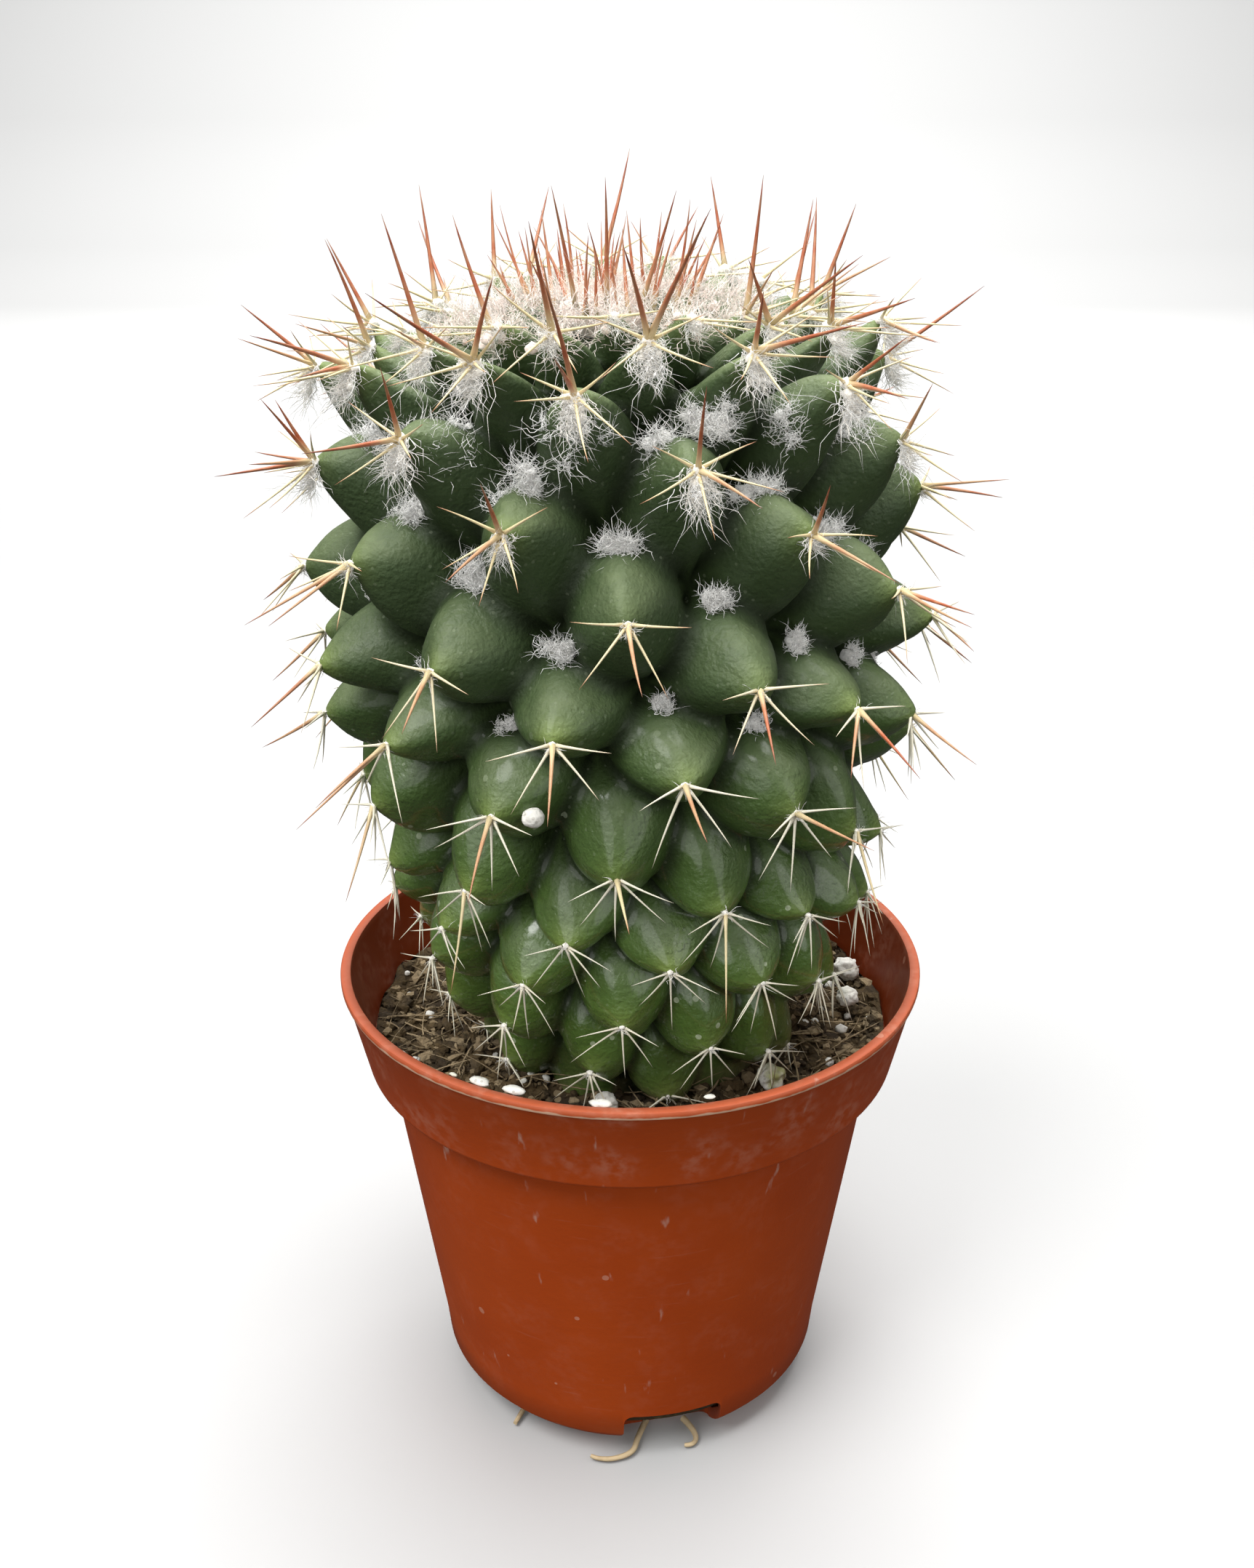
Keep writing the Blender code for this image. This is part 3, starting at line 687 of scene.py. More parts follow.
@dataclass(frozen=True)
class GritFinish:
    """Expanded perlite: off-white, foamy and a little dirty."""

    white: Colour = (0.800, 0.780, 0.720)
    stain: Colour = (0.420, 0.430, 0.160)
    pore: Colour = (0.330, 0.300, 0.250)

    def make(self, groups: SharedGroups) -> bpy.types.Material:
        """Return the perlite.

        Args:
            groups: the shared groups.

        Returns:
            The material.
        """
        made = Material("perlite_grit", groups)
        sheet = made.sheet
        stained = made.patches(380.0, 0.46, 0.70)
        amount = sheet.maths("MULTIPLY_ADD", made.attribute("tint"), 0.75, 0.25)
        colour = sheet.mix(sheet.times(stained, amount), self.white,
                           self.stain)
        pores = made.flecks(2200.0, 0.30, 0.55)
        colour = sheet.mix(sheet.times(pores, 0.45), colour, self.pore)
        made.put("Base Color", colour)
        made.put("Roughness", 0.88)
        grain = made.grain(2400.0, 1.0)
        foam = made.bump(grain, 0.6, 0.0002)
        made.bump(sheet.flip(pores), 0.5, 0.0001, foam)
        return made.data


@dataclass(frozen=True)
class RootFinish:
    """Dry beige root fibre with darker soil-stained stretches."""

    pale: Colour = (0.600, 0.460, 0.270)
    stain: Colour = (0.230, 0.150, 0.080)

    def make(self, groups: SharedGroups) -> bpy.types.Material:
        """Return the roots' finish.

        Args:
            groups: the shared groups.

        Returns:
            The material.
        """
        made = Material("root_fibre", groups)
        sheet = made.sheet
        stained = made.patches(480.0, 0.42, 0.70)
        colour = sheet.mix(sheet.times(stained, 0.7), self.pale, self.stain)
        made.put("Base Color", colour)
        made.put("Roughness", 0.80)
        grain = made.grain(2600.0, 0.8)
        made.bump(grain, 0.5, 0.0001)
        return made.data


@dataclass
class Finishes:
    """All finishes, made once."""

    plastic: bpy.types.Material
    skin: bpy.types.Material
    spine: bpy.types.Material
    wool: bpy.types.Material
    peat: bpy.types.Material
    grit: bpy.types.Material
    root: bpy.types.Material


# ---------------------------------------------------------------- mesh helpers


def clear_selection() -> None:
    """Deselect everything, because the frame's nodes come in selected."""
    for item in bpy.context.view_layer.objects:
        item.select_set(False)


def activate(item: bpy.types.Object) -> None:
    """Select one object alone and make it the active one."""
    clear_selection()
    item.select_set(True)
    bpy.context.view_layer.objects.active = item


def settle(item: bpy.types.Object) -> None:
    """Write an object's place, turn and scale into its mesh."""
    activate(item)
    bpy.ops.object.transform_apply(location=True, rotation=True, scale=True)


def store(item: bpy.types.Object, name: str, values: np.ndarray) -> None:
    """Store one number for each point of a mesh."""
    layer = item.data.attributes.new(name, "FLOAT", "POINT")
    layer.data.foreach_set("value", np.ascontiguousarray(values, dtype=np.float32))


def dress(item: bpy.types.Object, material: bpy.types.Material, slot: str, *nodes: str) -> None:
    """Give a piece its finish and its body, and hide the frame nodes that it stands for.

    Args:
        item: the piece.
        material: its finish.
        slot: not used.
        nodes: the frame nodes it stands for.
    """
    item.data.materials.clear()
    item.data.materials.append(material)
    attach(item, ROOT_BODY)
    if nodes:
        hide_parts(*nodes)
    LOG.info("%s: %d faces, stands for %d nodes", item.name, len(item.data.polygons), len(nodes))


def from_arrays(name: str, points: np.ndarray, faces: list, smooth: bool = True) -> bpy.types.Object:
    """Make an object from points and faces.

    Args:
        name: the object's name.
        points: an array of points, three numbers each.
        faces: lists of point numbers.
        smooth: whether its faces are shaded smooth.

    Returns:
        The object, linked to the scene.
    """
    mesh = bpy.data.meshes.new(name)
    mesh.from_pydata(points.tolist(), [], faces)
    mesh.update()
    if smooth:
        mesh.shade_smooth()
    item = bpy.data.objects.new(name, mesh)
    bpy.context.scene.collection.objects.link(item)
    return item


def drawn_rings(name: str, stations: list[tuple[float, float]], segments: int) -> bpy.types.Object:
    """Draw a round shell up from a circle, ring by ring, and close its two ends.

    Args:
        name: the object's name.
        stations: radius and height of each ring, from one end to the other.
        segments: the number of points round each ring.

    Returns:
        The closed shell with its faces pointing outwards.
    """
    clear_selection()
    radius, height = stations[0]
    bpy.ops.mesh.primitive_circle_add(vertices=segments, radius=radius, fill_type="NGON",
                                      location=(0.0, 0.0, height))
    item = bpy.context.object
    item.name = name
    settle(item)
    bpy.ops.object.mode_set(mode="EDIT")
    bpy.ops.mesh.select_mode(type="EDGE")
    bpy.ops.mesh.select_all(action="SELECT")
    for (before, low), (after, high) in zip(stations, stations[1:]):
        bpy.ops.mesh.region_to_loop()
        bpy.ops.mesh.extrude_edges_move()
        bpy.ops.transform.translate(value=(0.0, 0.0, high - low))
        share = after / before
        bpy.ops.transform.resize(value=(share, share, 1.0), center_override=(0.0, 0.0, high))
    bpy.ops.mesh.edge_face_add()
    bpy.ops.mesh.select_all(action="SELECT")
    bpy.ops.mesh.normals_make_consistent(inside=False)
    bpy.ops.object.mode_set(mode="OBJECT")
    item.data.name = name
    return item


def strand_template(sides: int, rings: int) -> tuple[np.ndarray, list]:
    """Model one straight strand of unit length and radius along Z, cut into even rings.

    Args:
        sides: the number of its sides.
        rings: the number of its stretches from root to point.

    Returns:
        Its points as an array and its faces as lists of point numbers.
    """
    clear_selection()
    bpy.ops.mesh.primitive_cylinder_add(vertices=sides, radius=1.0, depth=1.0,
                                        end_fill_type="NGON", location=(0.0, 0.0, 0.5))
    item = bpy.context.object
    settle(item)
    bpy.ops.object.mode_set(mode="EDIT")
    for ring in range(1, rings):
        bpy.ops.mesh.select_all(action="SELECT")
        bpy.ops.mesh.bisect(plane_co=(0.0, 0.0, ring / rings), plane_no=(0.0, 0.0, 1.0))
    bpy.ops.object.mode_set(mode="OBJECT")
    points = np.array([tuple(v.co) for v in item.data.vertices])
    faces = [list(face.vertices) for face in item.data.polygons]
    bpy.data.objects.remove(item, do_unlink=True)
    return points, faces


def lump_template(detail: int, seed: float, roughness: float) -> tuple[np.ndarray, list]:
    """Model one uneven lump of unit radius.

    Args:
        detail: the subdivision level of the sphere it starts as.
        seed: which lump of the noise it is.
        roughness: how far its surface goes in and out.

    Returns:
        Its points as an array and its faces as lists of point numbers.
    """
    clear_selection()
    bpy.ops.mesh.primitive_ico_sphere_add(subdivisions=detail, radius=1.0)
    item = bpy.context.object
    for vert in item.data.vertices:
        wave = noise.noise(vert.co * 1.3 + Vector((seed, 0, 0)))
        wave += 0.5 * noise.noise(vert.co * 3.1 + Vector((0, seed, 0)))
        vert.co *= 1.0 + roughness * wave
    points = np.array([tuple(v.co) for v in item.data.vertices])
    faces = [list(face.vertices) for face in item.data.polygons]
    bpy.data.objects.remove(item, do_unlink=True)
    return points, faces


def unit(vectors: np.ndarray) -> np.ndarray:
    """Return vectors at unit length."""
    return vectors / np.maximum(np.linalg.norm(vectors, axis=-1, keepdims=True), 1e-12)


class Taper(Enum):
    """How a strand narrows from its root to its point."""

    SPINE = "spine"
    HAIR = "hair"

    def radius(self, along: np.ndarray) -> np.ndarray:
        """Return the share of the full radius at places along the strand."""
        if self is Taper.SPINE:
            bulb = 0.30 * np.exp(-((along / 0.06)**2))
            return np.maximum(1.0 - along, 0.0)**0.75 * (1.0 + bulb) + 0.05
        return np.maximum(1.0 - along, 0.0)**0.4 * 0.9 + 0.1


class Strands:
    """A batch of tapered strands that become one mesh."""

    phase_step = 2.4
    wave_turn = 6.5
    side_turn = 5.0

    def __init__(self, sides: int, rings: int, taper: Taper, curl: float = 0.0) -> None:
        """Model the strand that is copied, with how far a hair of it waves aside."""
        self.points, self.faces = strand_template(sides, rings)
        self.taper = taper
        self.curl = curl
        self.rows: list[tuple] = []

    def add(self, base: Triple, direction: Triple, length: float, radius: float,
            bend: Triple = (0.0, 0.0, 0.0), tint: float = 0.0) -> None:
        """Add one strand.

        Args:
            base: where its root is.
            direction: where it first points.
            length: its length.
            radius: its radius at the root.
            bend: how far its point is drawn aside, as a share of its length.
            tint: a number that its finish reads.
        """
        self.rows.append((*base, *direction, *bend, length, radius, tint))

    def build(self, name: str, extra: "Lumps | None" = None) -> bpy.types.Object:
        """Make one object of all the strands, and of some lumps that belong to it.

        Args:
            name: the object's name.
            extra: lumps to join to the strands.

        Returns:
            The object.
        """
        rows = np.array(self.rows)
        base, heading = rows[:, None, 0:3], unit(rows[:, None, 3:6])
        bend, length = rows[:, None, 6:9], rows[:, None, 9:10]
        radius, tint = rows[:, None, 10:11], rows[:, 11:12]
        helper = np.where(np.abs(heading[..., 2:3]) > 0.9, (1.0, 0.0, 0.0), (0.0, 0.0, 1.0))
        side = unit(np.cross(heading, helper))
        over = np.cross(heading, side)
        along = self.points[None, :, 2:3]
        width = radius * self.taper.radius(along)
        points = base + heading * length * along + bend * length * along**2
        if self.taper is Taper.HAIR:
            start = (np.arange(len(rows)) * self.phase_step)[:, None, None]
            phase = start + along * self.wave_turn
            wave = side * (np.sin(phase) - np.sin(phase - along * self.wave_turn))
            wave = wave + over * np.sin(along * self.side_turn)
            points = points + wave * length * self.curl
        points = points + (side * self.points[None, :, 0:1] + over * self.points[None, :, 1:2]) * width
        count = len(self.points)
        faces = [[k + count * row for k in face] for row in range(len(rows)) for face in self.faces]
        flat = points.reshape(-1, 3)
        marks = np.broadcast_to(self.points[None, :, 2], (len(rows), count)).reshape(-1)
        tints = np.broadcast_to(tint, (len(rows), count)).reshape(-1)
        if extra is not None and extra.rows:
            more, more_faces, more_tints = extra.arrays()
            faces += [[k + len(flat) for k in face] for face in more_faces]
            flat = np.vstack([flat, more])
            marks = np.concatenate([marks, np.zeros(len(more))])
            tints = np.concatenate([tints, more_tints])
        item = from_arrays(name, flat, faces)
        store(item, "along", marks)
        store(item, "tint", tints)
        return item


class Lumps:
    """A batch of uneven lumps that become one mesh."""

    def __init__(self, detail: int, roughness: float, kinds: int = 4, first: int = 0) -> None:
        """Model the few lumps that are copied, from the first kind on."""
        self.kinds = [lump_template(detail, 3.7 * kind, roughness)
                      for kind in range(first, first + kinds)]
        self.rows: list[tuple] = []

    def add(self, centre: Triple, radius: float, squash: tuple = (1.0, 1.0, 1.0),
            turn: float = 0.0, tint: float = 0.0) -> None:
        """Add one lump, squashed on its own axes and turned about Z."""
        self.rows.append((tuple(centre), radius, squash, turn, tint))

    def arrays(self) -> tuple[np.ndarray, list, np.ndarray]:
        """Return all points, faces and tints.

        Returns:
            The points, the faces as lists of point numbers, and a tint for each point.
        """
        blocks, faces, tints, start = [], [], [], 0
        for number, (centre, radius, squash, turn, tint) in enumerate(self.rows):
            points, own = self.kinds[number % len(self.kinds)]
            spin = np.array(Matrix.Rotation(turn, 3, "Z") @ Matrix.Rotation(turn * 1.7, 3, "X"))
            if squash != (1.0, 1.0, 1.0):
                spin = np.array(Matrix.Rotation(turn, 3, "Z"))
            block = (points * np.array(squash) * radius) @ spin.T + np.array(centre)
            blocks.append(block)
            faces += [[k + start for k in face] for face in own]
            tints.append(np.full(len(block), tint))
            start += len(block)
        return np.vstack(blocks), faces, np.concatenate(tints)

    def build(self, name: str, smooth: bool = True) -> bpy.types.Object:
        """Make one object of all the lumps, shaded smooth or with sharp faces."""
        points, faces, tints = self.arrays()
        item = from_arrays(name, points, faces, smooth)
        store(item, "tint", tints)
        return item


# ---------------------------------------------------------------- the plant's lattice


# Stations down the stem: areole number, height above the soil, radius.
TIP_STATIONS = np.array((
    (-70, 0.0668, 0.0045), (-60, 0.0678, 0.0108), (-50, 0.0685, 0.0152), (-42, 0.0683, 0.0182),
    (-25, 0.0663, 0.0218), (-8, 0.0561, 0.0240), (8, 0.0444, 0.0262), (25, 0.0358, 0.0257),
    (42, 0.0247, 0.0228), (60, 0.0177, 0.0219), (85, 0.0048, 0.0174), (93, 0.0008, 0.0150),
    (103, -0.0045, 0.0134),
))
GROOVE_STATIONS = np.array((
    (-76, 0.0646, 0.0012), (-60, 0.0642, 0.0070), (-50, 0.0632, 0.0095), (-42, 0.0620, 0.0112),
    (-25, 0.0598, 0.0143), (-8, 0.0526, 0.0165), (8, 0.0439, 0.0182), (25, 0.0373, 0.0188),
    (42, 0.0272, 0.0172), (60, 0.0202, 0.0170), (85, 0.0068, 0.0140), (114, -0.0048, 0.0128),
))


def wrapped(angle: float) -> float:
    """Bring an angle between minus and plus half a turn."""
    return (angle + math.pi) % math.tau - math.pi


EIGHT_STEP = wrapped(8 * GOLDEN_ANGLE)
THIRTEEN_STEP = wrapped(13 * GOLDEN_ANGLE)


@dataclass(frozen=True)
class Lattice:
    """The golden-angle lattice that the stem, its areoles and its wool stand on."""

    soil_level: float
    offset: float = 0.0015
    lean_left: float = math.radians(3.2)
    lean_front: float = math.radians(4.6)
    turn: float = math.radians(2.6)
    twist: float = math.radians(-2.2)
    twist_growth: float = math.radians(4.3)
    twist_span: float = 60.0
    reach: float = 0.565
    cell_power: float = 2.8
    roundness: float = 2.15
    shoulder: float = 0.60
    blend: float = 12.0
    beak: float = 0.08
    crown_squeeze: float = 0.17
    crown_droop: float = 0.0024
    crown_edge: float = -20.0
    crown_span: float = 16.0
    first: int = -62
    last: int = 100

    @staticmethod
    def station(table: np.ndarray, number: np.ndarray, column: int) -> np.ndarray:
        """Read a height (1) or radius (2) between stations with a monotone cubic curve.

        Args:
            table: the stations.
            number: the lattice numbers to read at.
            column: 1 for heights, 2 for radii.

        Returns:
            The values there.
        """
        xs, ys = table[:, 0], table[:, column]
        slopes = np.diff(ys) / np.diff(xs)
        before, after = slopes[:-1], slopes[1:]
        same = before * after > 0
        inner = np.where(same, 2 * before * after / np.where(same, before + after, 1.0), 0.0)
        tangents = np.concatenate([slopes[:1], inner, slopes[-1:]])
        number = np.clip(number, xs[0], xs[-1])
        i = np.clip(np.searchsorted(xs, number, side="right") - 1, 0, len(xs) - 2)
        span = xs[i + 1] - xs[i]
        t = (number - xs[i]) / span
        value = (2 * t**3 - 3 * t**2 + 1) * ys[i] + (t**3 - 2 * t**2 + t) * span * tangents[i]
        return value + (3 * t**2 - 2 * t**3) * ys[i + 1] + (t**3 - t**2) * span * tangents[i + 1]

    def lean(self) -> Matrix:
        """Return the plant's lean as a turn."""
        return Matrix.Rotation(self.lean_front, 3, "X") @ Matrix.Rotation(-self.lean_left, 3, "Y")

    def stand(self, local: np.ndarray) -> np.ndarray:
        """Bring points from the plant's own upright frame to the leaning plant."""
        return local @ np.array(self.lean()).T + np.array((self.offset, 0.0, self.soil_level))

    def place(self, table: np.ndarray, number: np.ndarray, angle: np.ndarray) -> np.ndarray:
        """Return points of the leaning stem at lattice numbers and angles.

        Args:
            table: the stations of the surface.
            number: the lattice numbers.
            angle: the angles on the lattice.

        Returns:
            The points.
        """
        share = number / self.twist_span
        turn = angle + self.turn + self.twist * share + self.twist_growth * share**2
        side = np.clip((self.crown_edge - number) / self.crown_span, 0.0, 1.0) * np.sin(turn)**2
        radius = self.station(table, number, 2) * (1.0 - self.crown_squeeze * side)
        height = self.station(table, number, 1) - self.crown_droop * side
        return self.stand(np.stack([radius * np.sin(turn), -radius * np.cos(turn), height], axis=-1))

    def tips(self, number: np.ndarray) -> np.ndarray:
        """Return areole points."""
        return self.place(TIP_STATIONS, number, number * GOLDEN_ANGLE)

    def feet(self, number: np.ndarray) -> np.ndarray:
        """Return the points under the areoles, level with the grooves."""
        return self.place(GROOVE_STATIONS, number, number * GOLDEN_ANGLE)

    def axil(self, number: float, stand_out: float) -> tuple[np.ndarray, np.ndarray]:
        """Return a point in the axil above a tubercle and the way out of it.

        Args:
            number: the lattice number of the tubercle below.
            stand_out: how far out of the groove.

        Returns:
            The point and the way out.
        """
        angle = number * GOLDEN_ANGLE - (EIGHT_STEP + THIRTEEN_STEP) / 2
        corner = self.place(GROOVE_STATIONS, np.array(number - 10.5), np.array(angle))
        out = unit(np.array((corner[0] - self.offset, corner[1], 0.0)))
        out = unit(out + np.array((0.0, 0.0, 0.25)))
        return corner + out * stand_out, out

    def areole(self, number: int) -> tuple[np.ndarray, np.ndarray, np.ndarray, np.ndarray]:
        """Return an areole's point, its outward axis, its downward and its sideways tangent."""
        tip = self.tips(np.array(float(number)))
        axis = unit(tip - self.feet(np.array(float(number))))
        down = np.array((0.0, 0.0, -1.0))
        down = unit(down - down.dot(axis) * axis)
        return tip, axis, down, np.cross(axis, down)

    def swollen(self, points: np.ndarray, number: np.ndarray,
                angle: np.ndarray) -> tuple[np.ndarray, np.ndarray]:
        """Raise points of the bare stem by the tubercles around them.

        Each tubercle fills the rhombic cell between its neighbours 8 and 13 away, so it is wider
        than it is tall, and its areole stands on a slight beak.

        Args:
            points: points on the grooves' surface.
            number: their lattice numbers.
            angle: their angles on the lattice.

        Returns:
            The raised points, and how high each is on its tubercle from 0 to 1.
        """
        cells = np.arange(self.first, self.last + 1, dtype=float)
        feet = self.feet(cells)
        rises = self.tips(cells) - feet
        total, peak = np.zeros(len(points)), np.zeros(len(points))
        rise = np.zeros_like(points)
        spread = 8 * THIRTEEN_STEP - 13 * EIGHT_STEP
        for cell, vector in zip(cells, rises):
            ahead = number - cell
            aside = (angle - cell * GOLDEN_ANGLE + math.pi) % math.tau - math.pi
            p = np.abs(THIRTEEN_STEP * ahead - 13 * aside) / abs(spread)
            q = np.abs(8 * aside - EIGHT_STEP * ahead) / abs(spread)
            distance = (p**self.cell_power + q**self.cell_power)**(1 / self.cell_power) / self.reach
            share = np.maximum(0.0, 1.0 - distance**self.roundness)**self.blend
            total += share
            rise += share[:, None] * vector
            peak = np.maximum(peak, np.exp(-((distance / 0.24)**2)))
        height = total**(self.shoulder / self.blend)
        full = height * (1.0 - self.beak) + self.beak * peak
        safe = np.maximum(total, 1e-30)
        return points + full[:, None] * rise / safe[:, None], height


# ---------------------------------------------------------------- sub-assemblies


@dataclass
class GrowerPot:
    """The thin-walled round pot with its collar, rolled lip and drain notches."""

    rim_radius: float
    height: float
    wall: float = 0.0007
    floor: float = 0.0012
    lip_height: float = 0.0007
    lip_overhang: float = 0.0003
    collar_height: float = 0.0088
    collar_taper: float = 0.0021
    collar_step: float = 0.0018
    body_taper: float = 0.0044
    foot_bend_width: float = 0.0034
    foot_bend_height: float = 0.0035
    round_edge: float = 0.00016
    segments: int = 160
    notch_count: int = 6
    notch_width: float = 0.0095
    notch_height: float = 0.0020
    tall_notch_height: float = 0.0058
    notch_depth: float = 0.0050
    notch_rounding: float = 0.0009
    first_notch_angle: float = math.radians(12.5)

    @property
    def collar_foot_radius(self) -> float:
        """The collar's outer radius at its lower edge."""
        return self.rim_radius - self.collar_taper

    @property
    def body_top_radius(self) -> float:
        """The body's outer radius just under the collar."""
        return self.collar_foot_radius - self.collar_step

    @property
    def body_bottom_radius(self) -> float:
        """The body's outer radius above the foot's bend."""
        return self.body_top_radius - self.body_taper

    @property
    def foot_radius(self) -> float:
        """The radius of the ring that the pot stands on."""
        return self.body_bottom_radius - self.foot_bend_width

    def inner_radius(self, height: float) -> float:
        """Return the body's inner radius at a height."""
        low = self.foot_bend_height + self.floor / 2
        high = self.height - self.collar_height + self.wall
        share = (height - low) / (high - low)
        return self.body_bottom_radius - self.wall + share * self.body_taper

    def stations(self) -> list[tuple[float, float]]:
        """Return the section from the inner floor over the rim to the underside.

        Returns:
            Radius and height of each ring.
        """
        wall, bend = self.wall, self.round_edge
        lip_foot = self.height - self.lip_height
        collar_foot = self.height - self.collar_height
        collar_top = self.rim_radius - self.lip_overhang
        top, rim = self.height, self.rim_radius
        foot, bottom, turn = self.foot_radius, self.body_bottom_radius, self.foot_bend_height
        chamfer = self.foot_bend_width
        low = turn + self.floor / 2
        step = self.collar_foot_radius
        upper = self.body_top_radius
        return [
            (0.0040, self.floor), (foot - wall, self.floor),
            (foot - wall + 0.0013, self.floor + 0.0006), (bottom - wall, low),
            (upper - wall, collar_foot + wall), (upper - wall + bend, collar_foot + 1.4 * wall),
            (step - wall, collar_foot + 2.2 * wall),
            (collar_top - wall, top - 0.0006), (collar_top - wall + 0.4 * bend, top - 0.5 * bend),
            (collar_top - wall + 1.2 * bend, top), (rim - 1.3 * bend, top),
            (rim - 0.4 * bend, top - 0.4 * bend), (rim, top - 1.3 * bend),
            (rim, lip_foot + 1.1 * bend), (rim - 0.25 * bend, lip_foot + 0.35 * bend),
            (rim - 0.9 * bend, lip_foot), (collar_top + 0.6 * bend, lip_foot - 0.1 * bend),
            (collar_top, lip_foot - 0.9 * bend), (step + bend, collar_foot + 2.2 * bend),
            (step + 0.7 * bend, collar_foot + 0.9 * bend), (step, collar_foot + 0.2 * bend),
            (step - bend, collar_foot), (upper + bend, collar_foot),
            (upper + 0.2 * bend, collar_foot - 0.4 * bend), (upper, collar_foot - 1.4 * bend),
            (bottom + 0.06 * self.body_taper, turn * 1.8), (bottom, turn),
            (bottom - 0.20 * chamfer, turn * 0.74), (bottom - 0.46 * chamfer, turn * 0.46),
            (bottom - 0.76 * chamfer, turn * 0.18), (foot, 0.0), (0.0040, 0.0),
        ]

    def notch_angle(self, index: int) -> float:
        """Return where a drain notch is, from the front to the right."""
        return self.first_notch_angle + index * math.tau / self.notch_count

    def notch_cutter(self, angle: float, height: float) -> bpy.types.Object:
        """Model one rounded block that cuts a drain notch.

        Args:
            angle: where the notch is, from the front to the right.
            height: how high it cuts.

        Returns:
            The block, in its place at the foot's corner.
        """
        middle = self.body_bottom_radius
        clear_selection()
        bpy.ops.mesh.primitive_cube_add(
            size=1.0, location=(middle * math.sin(angle), -middle * math.cos(angle), 0.0),
            rotation=(0.0, 0.0, angle),
            scale=(self.notch_width, 2 * self.notch_depth, 2 * height))
        settle(bpy.context.object)
        bpy.ops.object.mode_set(mode="EDIT")
        bpy.ops.mesh.select_all(action="SELECT")
        bpy.ops.mesh.bevel(offset=self.notch_rounding, segments=3, affect="EDGES")
        bpy.ops.object.mode_set(mode="OBJECT")
        return bpy.context.object

    def cut_notches(self, pot: bpy.types.Object) -> None:
        """Cut the drain notches through the foot's corner with one Boolean.

        Args:
            pot: the pot to cut.
        """
        cutters = []
        for index in range(self.notch_count):
            height = self.tall_notch_height if index == 0 else self.notch_height
            cutters.append(self.notch_cutter(self.notch_angle(index), height))
        activate(cutters[0])
        for cutter in cutters:
            cutter.select_set(True)
        bpy.ops.object.join()
        cutter = bpy.context.object
        activate(pot)
        modifier = pot.modifiers.new("drain_notches", "BOOLEAN")
        modifier.operation = "DIFFERENCE"
        modifier.solver = "EXACT"
        modifier.object = cutter
        bpy.ops.object.modifier_apply(modifier=modifier.name)
        bpy.data.objects.remove(cutter, do_unlink=True)

    def outer_radius(self, height: np.ndarray) -> np.ndarray:
        """Return the pot's outer radius at heights."""
        outer = [row for row in reversed(self.stations()[10:-1])]
        return np.interp(height, [h for _, h in outer], [r for r, _ in outer])

    def build(self, finishes: Finishes) -> bpy.types.Object:
        """Build the pot in place of the frame's plainer one.

        Args:
            finishes: all finishes.

        Returns:
            The pot.
        """
        pot = drawn_rings("grower_pot", self.stations(), self.segments)
        self.cut_notches(pot)
        activate(pot)
        bpy.ops.object.shade_smooth_by_angle(angle=math.radians(38.0))
        points = np.array([tuple(v.co) for v in pot.data.vertices])
        reach = np.hypot(points[:, 0], points[:, 1])
        # The inside mask, which the plastic reads for its painted shade on the inner wall and to keep
        # the flash off it.
        inside = (reach < self.outer_radius(points[:, 2]) - 0.6 * self.wall) & (points[:, 2] > 0.0004)
        store(pot, "inside", inside.astype(float))
        dress(pot, finishes.plastic, "pot_plastic", "pot")
        return pot


